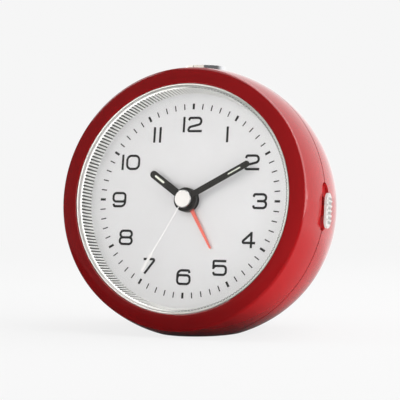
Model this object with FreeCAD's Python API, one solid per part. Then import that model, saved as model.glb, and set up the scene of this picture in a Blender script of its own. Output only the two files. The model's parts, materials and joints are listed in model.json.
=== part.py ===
import FreeCAD, Part
import math
import os

# Analog alarm clock: a barrel case that leans back on a flat rest face, with its dial, hands, movement,
# switches and battery. Millimetres and degrees.
# Pieces are drawn in the clock's own frame: X to the right of the dial, Y along the case axis from the
# dial's face (Y = 0) to the back, Z up the dial. A "depth" is a Y value, so what stands ahead of the dial
# has a negative depth. place() leans a piece back and sets it on the rest face.
# The origin is the middle of the rest face, +Z up, and the dial looks towards -Y.

# Case
tilt_back = 8.5
barrel_radius = 49.1
rest_cut = 0.9
parting_depth = 8.3
rear_depth = 50.0
bezel_depth = -8.0
shoulder_depth = -7.0
shoulder_drop = 1.98
rear_margin = 3.85
bezel_crown = 0.25
bezel_width = 7.8
lip_thickness = 1.5
shoulder_round = 1.2
opening_round = 0.5
rear_corner_round = 3.5
wall = 2.0
rear_wall = 2.4
rest_floor = 2.2
seam_chamfer = 0.35
tongue_thickness = 0.9
tongue_length = 1.6
tongue_gap = 0.1
case_gap = 0.1

# Lens, ribbed ring and dial
lens_thickness = 1.5
lens_recess = 0.25
lens_flange_width = 1.8
lens_flange_thickness = 1.1
pocket_gap = 0.2
ring_front_inset = 1.8
ring_foot_inset = 2.6
rib_count = 200
rib_depth = 0.45
dial_thickness = 0.6
dial_gap = 0.2
skirt_thickness = 1.1

# Dial carrier and its fasteners
carrier_gap = 0.15
carrier_thickness = 2.0
carrier_inset = 3.3
carrier_notch_gap = 0.5
carrier_boss_inset = 4.7
carrier_boss_radius = 2.4
carrier_boss_depth = 5.0
carrier_screw_radius = 1.0
carrier_screw_length = 5.5
carrier_screw_head_radius = 1.9
carrier_screw_head_height = 1.2
case_boss_radius = 3.0
case_boss_high = 29.0
case_boss_high_spread = 10.0
case_boss_low = 27.6
case_boss_low_spread = 15.5
case_joint_depth = 24.0
case_web = 2.0
case_screw_radius = 1.2
case_screw_length = 12.0
case_screw_head_radius = 2.3
case_screw_head_height = 1.8
screw_way_gap = 0.3

# Hands: planes ahead of the dial's face, and outlines
hand_thickness = 0.4
alarm_hand_height = 0.8
alarm_hand_length = 20.0
alarm_hand_width = 1.55
alarm_hand_tip_width = 0.7
alarm_hub_radius = 3.4
alarm_hand_angle = 149.4
hour_hand_height = 2.5
hour_hand_length = 17.1
hour_hand_width = 2.8
hour_hub_radius = 4.35
hour_hub_thickness = 1.4
hour_lume_start = 10.4
hour_lume_end = 15.0
hour_lume_width = 0.75
hour_hand_angle = 304.6
minute_hand_height = 3.4
minute_hand_length = 27.6
minute_hand_width = 2.2
minute_hub_radius = 3.4
minute_hub_thickness = 0.7
minute_lume_start = 18.7
minute_lume_end = 24.0
minute_lume_width = 0.45
minute_hand_angle = 61.2
second_hand_height = 4.3
second_hand_length = 29.9
second_hand_width = 0.3
second_hand_thickness = 0.2
second_tip_length = 6.8
second_tip_width = 1.0
second_tail_length = 2.6
second_cap_radius = 3.2
second_cap_front = 5.1
second_cap_round = 0.3
second_hand_angle = 209.3

# Tubes on the centre axis, from the second arbor outwards
running_gap = 0.06
press_gap = 0.02
second_arbor_radius = 0.5
cannon_tube_radius = 1.2
hour_tube_radius = 1.9
alarm_tube_radius = 2.6
bush_radius = 4.0
bush_front = 0.4

# Movement case
movement_half_width = 28.0
movement_half_height = 24.0
movement_corner_radius = 4.0
movement_wall = 1.5
movement_floor = 1.2
movement_ear = 5.0
movement_ear_offset = 20.0
movement_screw_radius = 1.0
movement_screw_head_radius = 1.9
movement_screw_head_height = 1.1
peg_radius = 0.6
peg_shoulder_radius = 1.0
pivot_radius = 0.3
arbor_radius = 0.5

# Wheels: one layer each from the front of the movement to its back
layer_start_gap = 0.25
layer_thickness = 1.0
layer_gap = 0.2
tooth_tip = 0.80
tooth_root = 1.05
tooth_share = 0.40
tooth_taper = 0.45
cannon_teeth = 10
motion_teeth = 30
motion_pinion_teeth = 8
hour_teeth = 32
motion_distance = 10.6
time_set_teeth = 15
clutch_teeth = 48
third_pinion_teeth = 6
third_teeth = 45
second_pinion_teeth = 6
third_distance = 10.6
third_angle = -60.0
second_teeth = 36
intermediate_pinion_teeth = 6
intermediate_distance = 8.82
intermediate_angle = 200.0
intermediate_teeth = 30
rotor_pinion_teeth = 6
rotor_distance = 7.2
rotor_angle = 250.0
alarm_teeth = 28
alarm_set_teeth = 23

# Motor and electronics
magnet_radius = 3.0
magnet_thickness = 2.0
magnet_gap = 0.4
stator_thickness = 0.8
stator_width = 10.0
stator_foot = 4.0
coil_radius = 2.6
coil_flange_radius = 2.9
coil_flange = 1.0
coil_foot = 5.5
coil_core_radius = 1.4
coil_low = 18.0
coil_left = -20.0
coil_right = -3.0
board_thickness = 1.0
board_left = 12.5
board_right = 25.5
board_low = -21.0
board_high = -3.0
crystal_radius = 1.0
crystal_length = 6.2

# Setting knobs at the back
knob_spread = 9.5
knob_rise = 12.0
set_arbor_radius = 1.5
set_arbor_reach = 6.0
knob_stem_radius = 2.6
knob_radius = 6.0
knob_flutes = 12
knob_flute_radius = 1.0
knob_height = 6.5
knob_proud = 2.0
knob_round = 0.5
well_gap = 1.0
well_wall = 1.4
well_floor = 1.4
stem_gap = 0.3

# Battery, its bay and door
cell_radius = 7.25
cell_length = 49.5
cell_nub_radius = 2.75
cell_nub = 1.0
bay_rise = -7.0
bay_end_room = 2.25
bay_clearance = 0.45
bay_wall = 1.5
contact_thickness = 0.4
contact_width = 9.0
door_thickness = 2.0
door_side_cover = 1.4
door_edge_cover = 0.8
door_gap = 0.3
door_corner_radius = 2.0
door_pin_radius = 0.6
door_pin_length = 1.2
door_seat_width = 1.6
door_seat_thickness = 1.2
door_seat_gap = 0.1
door_grip_width = 12.0
door_grip_radius = 3.2
door_grip_drop = 2.2
door_rib_count = 4

# Sounder
sounder_radius = 8.0
sounder_margin = 2.6
sounder_height = 3.4
sounder_holder_wall = 1.2
sounder_hole_radius = 0.8
sounder_hole_circle = 3.6
sounder_hole_count = 6

# Snooze button on the top
button_radius = 7.2
button_gap = 0.3
button_crown_height = 1.65
button_edge_drop = 0.75
button_edge_round = 0.4
button_body = 4.0
button_flange_width = 1.0
button_flange_thickness = 1.0
button_travel = 0.7
button_stem_radius = 2.0
button_stem_length = 4.6
snooze_switch_size = 6.0
snooze_switch_height = 3.6
snooze_plunger_radius = 1.7
snooze_plunger_length = 1.8
snooze_plunger_proud = 1.0
shelf_thickness = 1.2
shelf_rail = 1.2
shelf_rail_height = 2.2

# Alarm slider on the right side
slider_rise = -2.05
slider_length = 12.5
slider_width = 5.0
slider_thickness = 1.0
slider_lift = 0.5
slider_round = 0.35
slider_travel = 3.0
slide_clearance = 0.35
slider_ridge_count = 5
slider_ridge_pitch = 1.7
slider_ridge_radius = 0.45
slider_ridge_height = 0.3
slider_ridge_span = 4.3
recess_depth = 1.0
recess_width = 6.8
recess_low_gap = 0.95
recess_high_gap = 0.75
slider_stem_length = 3.4
slider_stem_width = 1.8
slider_slot_gap = 0.2
keeper_length = 8.0
keeper_width = 5.2
keeper_thickness = 2.2
actuator_radius = 0.8
actuator_length = 2.0
alarm_switch_length = 12.0
alarm_switch_width = 6.0
alarm_switch_height = 5.5
rail_thickness = 1.2

big = 200.0
Vector = FreeCAD.Vector
case_axis = Vector(0, 1, 0)

# Sizes that follow from these
bay_half_length = cell_length / 2 + bay_end_room
bay_half_height = cell_radius + bay_clearance
door_half_length = bay_half_length + door_side_cover
door_half_height = bay_half_height + door_edge_cover
bay_corner = math.hypot(bay_half_length + bay_wall, bay_half_height + bay_wall - bay_rise)
rear_radius = bay_corner + rear_margin
sounder_low = rear_radius - sounder_radius - sounder_margin
opening_radius = barrel_radius - bezel_width
ring_front_radius = opening_radius - ring_front_inset
ring_foot_radius = opening_radius - ring_foot_inset
carrier_radius = barrel_radius - carrier_inset
carrier_boss_circle = barrel_radius - carrier_boss_inset
rest_drop = barrel_radius - rest_cut


def sweep_for(length, drop):
    """The radius of the arc that falls by this drop over a length, starting level."""
    return (length ** 2 + drop ** 2) / (2 * drop)


front_sweep = sweep_for(parting_depth - shoulder_depth, shoulder_drop)
rear_sweep = sweep_for(rear_depth - parting_depth, barrel_radius - rear_radius)


# Places on the dial and in the case

def lean(shape):
    """Turns a piece from the clock's own frame to the leaning frame of the finished clock."""
    turned = shape.copy()
    turned.rotate(Vector(0, 0, 0), Vector(1, 0, 0), -tilt_back)
    return turned


def rest_end(sweep, side):
    """The Y of the rest face at its front (side -1) or rear (side +1) end, before the origin moves."""
    centre_up = sweep - barrel_radius
    slope = math.radians(tilt_back)
    centre_y = centre_up * math.sin(slope) + parting_depth * math.cos(slope)
    centre_z = centre_up * math.cos(slope) - parting_depth * math.sin(slope)
    return centre_y + side * math.sqrt(sweep ** 2 - (centre_z + rest_drop) ** 2)


rest_middle = (rest_end(front_sweep, -1) + rest_end(rear_sweep, 1)) / 2


def place(shape):
    """Leans a piece back and moves it onto the rest face, whose middle is the origin."""
    placed = lean(shape)
    placed.translate(Vector(0, -rest_middle, rest_drop))
    return placed


def above_rest(height):
    """All the room higher than this above the rest face, in the clock's own frame."""
    room = Part.makeBox(2 * big, 2 * big, big, Vector(-big, -big, height - rest_drop))
    room.rotate(Vector(0, 0, 0), Vector(1, 0, 0), tilt_back)
    return room


# Shape helpers

class Outline:
    """A closed outline of lines and arcs in the plane of radius and depth, turned about the case axis."""

    def __init__(self, radius, depth):
        self.start = Vector(radius, depth, 0)
        self.here = self.start
        self.edges = []
        self.rounds = []

    def line(self, radius, depth):
        end = Vector(radius, depth, 0)
        self.edges.append(Part.LineSegment(self.here, end).toShape())
        self.here = end
        return self

    def arc(self, through_radius, through_depth, radius, depth):
        end = Vector(radius, depth, 0)
        through = Vector(through_radius, through_depth, 0)
        self.edges.append(Part.Arc(self.here, through, end).toShape())
        self.here = end
        return self

    def barrel(self, depth, inset=0.0):
        middle = (self.here.y + depth) / 2
        return self.arc(barrel_at(middle, inset), middle, barrel_at(depth, inset), depth)

    def round(self, radius):
        """Marks the corner drawn to last, which is rounded when the outline is turned."""
        self.rounds.append((len(self.edges) - 1, radius))
        return self

    def turned(self):
        if self.here.distanceToPoint(self.start) > 1e-6:
            self.line(self.start.x, self.start.y)
        for index, radius in reversed(self.rounds):
            corner = self.edges[index].Vertexes[-1].Point
            fillet = Part.ChFi2d.FilletAPI(self.edges[index], self.edges[index + 1], Part.Plane())
            fillet.perform(radius)
            arc, before, after = fillet.result(corner)
            self.edges[index:index + 2] = [before, arc, after]
        face = Part.Face(Part.Wire(self.edges))
        return face.revolve(Vector(0, 0, 0), case_axis, 360)


def barrel_at(depth, inset=0.0):
    """The barrel's radius at a depth, or that of the surface this far inside it."""
    sweep = front_sweep if depth < parting_depth else rear_sweep
    return barrel_radius - sweep + math.sqrt((sweep - inset) ** 2 - (depth - parting_depth) ** 2)


def rod(radius, start, end, x=0.0, z=0.0):
    """A round bar along the case axis, between two depths."""
    return Part.makeCylinder(radius, end - start, Vector(x, start, z), case_axis)


def cross_rod(radius, x_low, x_high, depth, z):
    """A round bar across the clock, from left to right."""
    return Part.makeCylinder(radius, x_high - x_low, Vector(x_low, depth, z), Vector(1, 0, 0))


def upright_rod(radius, low, high, depth, x=0.0):
    """A round bar up the dial, between two heights."""
    return Part.makeCylinder(radius, high - low, Vector(x, depth, low), Vector(0, 0, 1))


def tube(outer, inner, start, end, x=0.0, z=0.0):
    return rod(outer, start, end, x, z).cut(rod(inner, start - 1, end + 1, x, z))


def block(x_low, x_high, start, end, z_low, z_high):
    return Part.makeBox(x_high - x_low, end - start, z_high - z_low, Vector(x_low, start, z_low))


def plate(points, start, end):
    """A flat plate with this outline of X and Z points, between two depths."""
    corners = [Vector(x, start, z) for x, z in points]
    wire = Part.makePolygon(corners + [corners[0]])
    return Part.Face(wire).extrude(Vector(0, end - start, 0))


def rounded_plate(half_width, half_height, radius, start, end, x=0.0, z=0.0):
    """A rectangular plate with round corners, between two depths."""
    body = block(x - half_width, x + half_width, start, end, z - half_height, z + half_height)
    corners = [edge for edge in body.Edges if abs(edge.tangentAt(edge.FirstParameter).y) > 0.99]
    return body.makeFillet(radius, corners)


def fuse(shapes):
    return shapes[0].multiFuse(shapes[1:]).removeSplitter() if len(shapes) > 1 else shapes[0]


def circles(shape):
    """The circular edges of a piece, without the pointed ends of its domes."""
    return [edge for edge in shape.Edges if not edge.Degenerated and edge.Curve.TypeId == "Part::GeomCircle"]


def ring_edges(shape, depth):
    """The circular edges of a round piece at this depth."""
    return [edge for edge in circles(shape) if abs(edge.Curve.Center.y - depth) < 0.01]


def turn_on_dial(shape, angle):
    """Turns a piece clockwise about the dial's centre, as seen from the front."""
    turned = shape.copy()
    turned.rotate(Vector(0, 0, 0), case_axis, angle)
    return turned


def at_angle(distance, angle):
    """The X and Z of a point this far from the centre, at an angle from +X towards +Z."""
    turn = math.radians(angle)
    return distance * math.cos(turn), distance * math.sin(turn)


def save(name, shape):
    placed = place(shape)
    placed.exportStep("parts/" + name + ".step")
    print(name, "solids", len(placed.Solids), "volume", round(placed.Volume, 2), "valid", placed.isValid())


# Depths that several pieces share
lens_front = bezel_depth + lens_recess
lens_back = lens_front + lens_thickness
lip_back = bezel_depth + lip_thickness
flange_front = lip_back + case_gap
flange_back = flange_front + lens_flange_thickness
pocket_radius = opening_radius + lens_flange_width
carrier_front = dial_thickness + carrier_gap
carrier_back = carrier_front + carrier_thickness
movement_front = carrier_back + case_gap
movement_inside = movement_front + movement_floor
rear_inside = rear_depth - rear_wall
door_inside = rear_depth - door_thickness
slider_radius = barrel_radius - recess_depth
shelf_switch_top = barrel_radius - wall - button_flange_thickness - button_stem_length


def layer(number):
    """The front and back depth of a wheel layer, counted from the front of the movement."""
    front = movement_inside + layer_start_gap + number * (layer_thickness + layer_gap)
    return front, front + layer_thickness


layer_count = 7
movement_lid = layer(layer_count - 1)[1] + layer_gap
movement_back = movement_lid + movement_floor

carrier_boss_angles = [45.0, 135.0, 225.0, 315.0]
case_boss_places = [(-case_boss_high_spread, case_boss_high), (case_boss_high_spread, case_boss_high),
                    (-case_boss_low_spread, -case_boss_low), (case_boss_low_spread, -case_boss_low)]
time_set_at = (-knob_spread, knob_rise)
alarm_set_at = (knob_spread, knob_rise)
movement_ear_places = [(-movement_ear_offset, 1), (movement_ear_offset, 1), (0.0, -1)]
button_flange_radius = button_radius + button_flange_width
button_flange_top = math.sqrt((barrel_radius - wall) ** 2 - button_flange_radius ** 2) - case_gap
button_flange_low = button_flange_top - button_flange_thickness


# Openings that cross the parting line: both shells are cut by the same shapes

def button_way():
    low = button_flange_low - button_travel - case_gap
    return upright_rod(button_radius + button_gap, low, big, parting_depth)


def long_round_block(length, width, x_low, x_high, z):
    """A block across the right wall, with round ends above and below."""
    half = width / 2
    straight = length / 2 - half
    body = block(x_low, x_high, parting_depth - half, parting_depth + half, z - straight, z + straight)
    ends = []
    for side in (-1, 1):
        ends.append(cross_rod(half, x_low, x_high, parting_depth, z + side * straight))
    return fuse([body] + ends)


def barrel_core(inset):
    """The turned solid this far inside the barrel's surface, from bezel to back."""
    start = shoulder_depth
    end = rear_inside
    outline = Outline(0, start).line(barrel_at(start, inset), start)
    outline.barrel(parting_depth, inset)
    outline.barrel(end, inset)
    return outline.line(0, end).turned()


recess_length = slider_length + slider_travel + recess_low_gap + recess_high_gap
recess_rise = slider_rise - slider_length / 2 - recess_low_gap + recess_length / 2
slot_length = slider_stem_length + slider_travel + 2 * slider_slot_gap
slot_rise = slider_rise + slider_travel / 2


def switch_recess():
    room = long_round_block(recess_length, recess_width, barrel_radius / 2, big, recess_rise)
    return room.cut(barrel_core(recess_depth))


def switch_slot():
    half = slider_stem_width / 2 + slider_slot_gap
    low = slot_rise - slot_length / 2
    return block(barrel_radius / 2, big, parting_depth - half, parting_depth + half, low, low + slot_length)


def case_ways():
    return [button_way(), switch_recess(), switch_slot()]


# Front shell: the convex bezel ring, the front of the barrel and the pocket that holds lens, ring and dial

def front_shell():
    shoulder = barrel_at(shoulder_depth)
    outline = Outline(opening_radius, parting_depth).line(opening_radius, bezel_depth).round(opening_round)
    bezel_middle = (opening_radius + shoulder) / 2
    bezel_rise = (bezel_depth + shoulder_depth) / 2 - bezel_crown
    outline.arc(bezel_middle, bezel_rise, shoulder, shoulder_depth).round(shoulder_round)
    outline.barrel(parting_depth - seam_chamfer)
    outline.line(barrel_at(parting_depth) - seam_chamfer, parting_depth)
    body = outline.turned().common(above_rest(0))

    face_back = lip_back + case_gap
    skirt_outer = pocket_radius + skirt_thickness
    room = Outline(0, carrier_front).line(skirt_outer, carrier_front).line(skirt_outer, face_back)
    room.line(barrel_at(face_back, wall), face_back).barrel(parting_depth, wall).line(0, parting_depth)
    body = body.cut(room.turned().common(above_rest(rest_floor)))
    body = body.cut(rod(pocket_radius, lip_back, carrier_front + 1))

    bosses = []
    pilots = []
    for angle in carrier_boss_angles:
        x, z = at_angle(carrier_boss_circle, angle)
        bosses.append(rod(carrier_boss_radius, carrier_front - carrier_boss_depth, carrier_front, x, z))
        pilot_end = carrier_front - carrier_boss_depth + 1
        pilots.append(rod(carrier_screw_radius, pilot_end, carrier_front + 1, x, z))
    bosses = fuse(bosses).common(barrel_core(wall / 2)).cut(rod(pocket_radius, lip_back, carrier_front + 1))
    tongue_outer = barrel_at(parting_depth) - wall + tongue_thickness
    tongue = tube(tongue_outer, tongue_outer - tongue_thickness, parting_depth - tongue_length / 2,
                  parting_depth + tongue_length)
    tongue = tongue.common(above_rest(rest_floor + tongue_gap))
    body = fuse([body, bosses, tongue])
    for cut in pilots + case_ways():
        body = body.cut(cut)
    return body


# Rear shell: the rear of the barrel with its back face, screw tubes, knob wells, battery bay and holders

def screw_tube(x, z):
    return rod(case_boss_radius, case_joint_depth, rear_inside + 1, x, z)


def screw_way(x, z):
    head = rod(case_screw_head_radius + screw_way_gap, case_joint_depth + case_web, rear_depth + 1, x, z)
    shank = rod(case_screw_radius + screw_way_gap, case_joint_depth - 1, rear_depth + 1, x, z)
    return head.fuse(shank)


def knob_well(x, z):
    depth = rear_depth + knob_proud - knob_height - well_gap
    return rod(knob_radius + well_gap + well_wall, depth - well_floor, rear_inside + 1, x, z)


def knob_way(x, z):
    depth = rear_depth + knob_proud - knob_height - well_gap
    room = rod(knob_radius + well_gap, depth, rear_depth + 1, x, z)
    stem = rod(knob_stem_radius + stem_gap, depth - well_floor - 1, rear_depth + 1, x, z)
    return room.fuse(stem)


def door_plate(grow, start, end):
    """A plate like the door, grown on all sides: round corners above and square ones at the hinge."""
    half_width = door_half_length + grow
    half_height = door_half_height + grow
    body = rounded_plate(half_width, half_height, door_corner_radius + grow, start, end, 0, bay_rise)
    return fuse([body, block(-half_width, half_width, start, end, bay_rise - half_height, bay_rise)])


bay_floor_depth = door_inside - door_seat_gap - 2 * cell_radius - bay_clearance
door_hinge_depth = rear_depth - door_thickness / 2
door_hinge_rise = bay_rise - door_half_height + door_thickness / 2


def battery_bay():
    """The solid that stands round the cell, and the seat that the door closes on."""
    reach = bay_half_length + bay_wall
    rise = bay_half_height + bay_wall
    cup = block(-reach, reach, bay_floor_depth - bay_wall, rear_inside + 1, bay_rise - rise, bay_rise + rise)
    seat_back = door_inside - door_seat_gap
    seat = door_plate(door_seat_width, seat_back - door_seat_thickness, seat_back)
    return [cup, seat]


def battery_room():
    """What is cut away for the cell, the door and the door's two pins."""
    cell = block(-bay_half_length, bay_half_length, bay_floor_depth, rear_depth + 1,
                 bay_rise - bay_half_height, bay_rise + bay_half_height)
    lid = door_plate(door_gap, door_inside - door_seat_gap, rear_depth + 1)
    reach = door_half_length + door_gap + door_pin_length
    pins = cross_rod(door_pin_radius + running_gap, -reach, reach, door_hinge_depth, door_hinge_rise)
    return [cell, lid, pins]


def sounder_holder():
    inner = sounder_radius + case_gap
    outer = inner + sounder_holder_wall
    return tube(outer, inner, rear_inside - sounder_height, rear_inside + 1, 0, -sounder_low)


def sounder_ways():
    ways = [rod(sounder_hole_radius, rear_inside - 1, rear_depth + 1, 0, -sounder_low)]
    for index in range(sounder_hole_count):
        x, z = at_angle(sounder_hole_circle, 360.0 * index / sounder_hole_count)
        ways.append(rod(sounder_hole_radius, rear_inside - 1, rear_depth + 1, x, z - sounder_low))
    return ways


snooze_switch_floor = shelf_switch_top - snooze_plunger_proud - snooze_switch_height
shelf_back = parting_depth + button_flange_radius + button_gap + shelf_rail
shelf_half = snooze_switch_size / 2 + case_gap + shelf_rail


def snooze_shelf():
    """The shelf under the snooze switch: two rails and a back wall that hangs from the top of the barrel."""
    front = parting_depth - snooze_switch_size / 2 - shelf_rail
    top = snooze_switch_floor
    floor = block(-shelf_half, shelf_half, front, shelf_back, top - shelf_thickness, top)
    back = block(-shelf_half, shelf_half, shelf_back - shelf_rail, shelf_back, top, barrel_radius)
    pieces = [floor, back.common(barrel_core(wall / 2))]
    for side in (-1, 1):
        low, high = sorted((side * (shelf_half - shelf_rail), side * shelf_half))
        pieces.append(block(low, high, front, shelf_back, top, top + shelf_rail_height))
    return pieces


alarm_switch_outer = barrel_radius - wall - slide_clearance - keeper_thickness
alarm_switch_inner = alarm_switch_outer - alarm_switch_height


def alarm_switch_rails():
    """Two ribs and a back stop on the right wall that hold the alarm switch."""
    half = alarm_switch_length / 2 + case_gap
    start = parting_depth + tongue_length + tongue_gap
    stop = parting_depth + alarm_switch_width / 2 + case_gap
    pieces = []
    for side in (-1, 1):
        edge = slot_rise + side * (half + rail_thickness / 2)
        pieces.append(block(alarm_switch_inner, barrel_radius, start, stop + rail_thickness,
                            edge - rail_thickness / 2, edge + rail_thickness / 2))
    pieces.append(block(alarm_switch_inner, barrel_radius, stop, stop + rail_thickness,
                        slot_rise - half, slot_rise + half))
    return [piece.common(barrel_core(wall / 2)) for piece in pieces]


def rear_shell():
    outline = Outline(0, parting_depth).line(barrel_at(parting_depth) - seam_chamfer, parting_depth)
    outline.line(barrel_at(parting_depth + seam_chamfer), parting_depth + seam_chamfer)
    outline.barrel(rear_depth).round(rear_corner_round)
    body = outline.line(0, rear_depth).turned()
    room = Outline(0, parting_depth).line(barrel_at(parting_depth, wall), parting_depth)
    room = room.barrel(rear_inside, wall).line(0, rear_inside).turned()
    body = body.common(above_rest(0)).cut(room.common(above_rest(rest_floor)))

    pieces = battery_bay() + [sounder_holder()] + snooze_shelf() + alarm_switch_rails()
    for x, z in case_boss_places:
        pieces.append(screw_tube(x, z))
    for x, z in (time_set_at, alarm_set_at):
        pieces.append(knob_well(x, z))
    body = fuse([body] + pieces)

    cuts = battery_room() + sounder_ways() + case_ways()
    rabbet_outer = barrel_at(parting_depth) - wall + tongue_thickness + tongue_gap
    rabbet = tube(rabbet_outer, barrel_at(parting_depth) - wall - 1, parting_depth - 1,
                  parting_depth + tongue_length + tongue_gap)
    cuts.append(rabbet.common(above_rest(rest_floor)))
    for x, z in case_boss_places:
        cuts.append(screw_way(x, z))
    for x, z in (time_set_at, alarm_set_at):
        cuts.append(knob_way(x, z))
    for cut in cuts:
        body = body.cut(cut)
    return body


# Lens, ribbed ring and dial

def lens():
    disc_radius = opening_radius - case_gap
    flange_radius = pocket_radius - pocket_gap / 2
    foot_radius = disc_radius - lens_thickness / 2
    outline = Outline(0, lens_front).line(disc_radius, lens_front).round(opening_round)
    outline.line(disc_radius, flange_front)
    outline.line(flange_radius, flange_front).line(flange_radius, flange_back)
    outline.line(foot_radius, flange_back).line(foot_radius, lens_back)
    return outline.line(0, lens_back).turned()


def rib_wire(radius, depth):
    """A star of rib crests and valleys at one depth."""
    points = []
    for index in range(2 * rib_count):
        reach = radius + (rib_depth if index % 2 else 0.0)
        x, z = at_angle(reach, 180.0 * index / rib_count)
        points.append(Vector(x, depth, z))
    return Part.makePolygon(points + [points[0]])


def dial_ring():
    front = lens_back + case_gap / 2
    collar = flange_back + case_gap / 2
    neck = opening_radius - case_gap - lens_thickness / 2 - case_gap
    outer = pocket_radius - pocket_gap
    outline = Outline(0, front).line(neck, front).line(neck, collar).line(outer, collar).line(outer, 0)
    body = outline.line(0, 0).turned()
    taper = (ring_front_radius - ring_foot_radius) / (0 - front)
    ahead = front - 1
    behind = 1.0
    room = Part.makeLoft([rib_wire(ring_foot_radius - taper * ahead, ahead),
                          rib_wire(ring_foot_radius - taper * behind, behind)], True, True)
    return body.cut(room)


def dial():
    return tube(pocket_radius - dial_gap, bush_radius + case_gap, 0, dial_thickness)


# Dial carrier with its screws

def dial_carrier():
    body = rod(carrier_radius, carrier_front, carrier_back)
    pieces = [body]
    cuts = [rod(bush_radius + case_gap, carrier_front - 1, carrier_back + 1)]
    notch = button_flange_radius + carrier_notch_gap
    cuts.append(block(-notch, notch, carrier_front - 1, carrier_back + 1,
                      button_flange_low - button_travel - carrier_notch_gap, big))
    for x, z in case_boss_places:
        pieces.append(rod(case_boss_radius, carrier_front, case_joint_depth - case_gap, x, z))
        cuts.append(rod(case_screw_radius, case_joint_depth - case_screw_length, case_joint_depth, x, z))
    for angle in carrier_boss_angles:
        x, z = at_angle(carrier_boss_circle, angle)
        cuts.append(rod(carrier_screw_radius + screw_way_gap, carrier_front - 1, carrier_back + 1, x, z))
    for x, side in movement_ear_places:
        z = side * (movement_half_height + movement_ear / 2)
        cuts.append(rod(movement_screw_radius, carrier_front - 1, carrier_back + 1, x, z))
    body = fuse(pieces)
    for cut in cuts:
        body = body.cut(cut)
    return body


def screw(radius, length, head_radius, head_height, under_head, x, z):
    """A screw with a cross recess, its head behind this depth and its shank ahead of it."""
    body = rod(radius - press_gap, under_head - length, under_head, x, z)
    head = rod(head_radius, under_head, under_head + head_height, x, z)
    arm = head_radius * 0.6
    bottom = under_head + head_height / 2
    half = radius / 4
    cross = block(x - arm, x + arm, bottom, under_head + head_height + 1, z - half, z + half).fuse(
        block(x - half, x + half, bottom, under_head + head_height + 1, z - arm, z + arm))
    return body.fuse(head).cut(cross)


def carrier_screws():
    screws = []
    for angle in carrier_boss_angles:
        x, z = at_angle(carrier_boss_circle, angle)
        screws.append(screw(carrier_screw_radius, carrier_screw_length, carrier_screw_head_radius,
                            carrier_screw_head_height, carrier_back, x, z))
    return Part.makeCompound(screws)


def case_screws():
    return Part.makeCompound([screw(case_screw_radius, case_screw_length, case_screw_head_radius,
                                    case_screw_head_height, case_joint_depth + case_web, x, z)
                              for x, z in case_boss_places])


def movement_screws():
    screws = []
    for x, side in movement_ear_places:
        z = side * (movement_half_height + movement_ear / 2)
        screws.append(screw(movement_screw_radius, movement_inside - carrier_front - carrier_gap / 2,
                            movement_screw_head_radius, movement_screw_head_height, movement_inside, x, z))
    return Part.makeCompound(screws)


# Wheels: every gear is a plate with tapered teeth, and each next wheel of a train is turned into mesh

def gear_points(teeth, module, phase, x, z):
    pitch = 360.0 / teeth
    root = (teeth / 2 - tooth_root) * module
    tip = (teeth / 2 + tooth_tip) * module
    root_half = pitch * tooth_share / 2 * (1 + tooth_taper)
    tip_half = pitch * tooth_share / 2 * (1 - tooth_taper)
    tooth = [(root, -root_half), (tip, -tip_half), (tip, tip_half), (root, root_half)]
    points = []
    for index in range(teeth):
        for radius, offset in tooth:
            dx, dz = at_angle(radius, phase + index * pitch + offset)
            points.append((x + dx, z + dz))
    return points


def gear(teeth, module, phase, at, number):
    front, back = layer(number)
    return plate(gear_points(teeth, module, phase, at[0], at[1]), front, back)


def meshed(phase, teeth, other_teeth, at, other_at):
    """The phase that puts another gear's gap where this gear has its tooth."""
    towards = math.degrees(math.atan2(other_at[1] - at[1], other_at[0] - at[0]))
    return towards + 180.0 - (phase - towards) * teeth / other_teeth + 180.0 / other_teeth


def module_for(distance, teeth, other_teeth):
    return 2 * distance / (teeth + other_teeth)


def corner_between(first, second, from_first, from_second, side):
    """The point at two given distances from two places, on one side of the line between them."""
    dx = second[0] - first[0]
    dz = second[1] - first[1]
    span = math.hypot(dx, dz)
    along = (from_first ** 2 - from_second ** 2 + span ** 2) / (2 * span)
    across = side * math.sqrt(from_first ** 2 - along ** 2)
    return (first[0] + (along * dx - across * dz) / span, first[1] + (along * dz + across * dx) / span)


centre = (0.0, 0.0)
alarm_module = module_for(math.hypot(*alarm_set_at), alarm_teeth, alarm_set_teeth)
cannon_module = module_for(motion_distance, cannon_teeth, motion_teeth)
hour_module = module_for(motion_distance, motion_pinion_teeth, hour_teeth)
time_set_distance = cannon_module * (motion_teeth + time_set_teeth) / 2
motion_at = corner_between(centre, time_set_at, motion_distance, time_set_distance, 1)
clutch_module = module_for(third_distance, clutch_teeth, third_pinion_teeth)
third_module = module_for(third_distance, third_teeth, second_pinion_teeth)
third_at = at_angle(third_distance, third_angle)
second_module = module_for(intermediate_distance, second_teeth, intermediate_pinion_teeth)
intermediate_at = at_angle(intermediate_distance, intermediate_angle)
intermediate_module = module_for(rotor_distance, intermediate_teeth, rotor_pinion_teeth)
rotor_step = at_angle(rotor_distance, rotor_angle)
rotor_at = (intermediate_at[0] + rotor_step[0], intermediate_at[1] + rotor_step[1])

alarm_layer, hour_layer, motion_layer, clutch_layer = range(4)
third_layer, second_layer, intermediate_layer = range(4, layer_count)


def alarm_wheel():
    back = layer(alarm_layer)[1]
    wheel = gear(alarm_teeth, alarm_module, 0, centre, alarm_layer)
    barrel = rod(alarm_tube_radius, -alarm_hand_height - hand_thickness, back)
    return wheel.fuse(barrel).cut(rod(hour_tube_radius + running_gap, -big, big)).removeSplitter()


def hour_wheel():
    back = layer(hour_layer)[1]
    phase = meshed(0.0, motion_pinion_teeth, hour_teeth, motion_at, centre)
    wheel = gear(hour_teeth, hour_module, phase, centre, hour_layer)
    barrel = rod(hour_tube_radius, -hour_hand_height - hand_thickness, back)
    return wheel.fuse(barrel).cut(rod(cannon_tube_radius + running_gap, -big, big)).removeSplitter()


def motion_phase():
    return meshed(0.0, cannon_teeth, motion_teeth, centre, motion_at)


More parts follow.
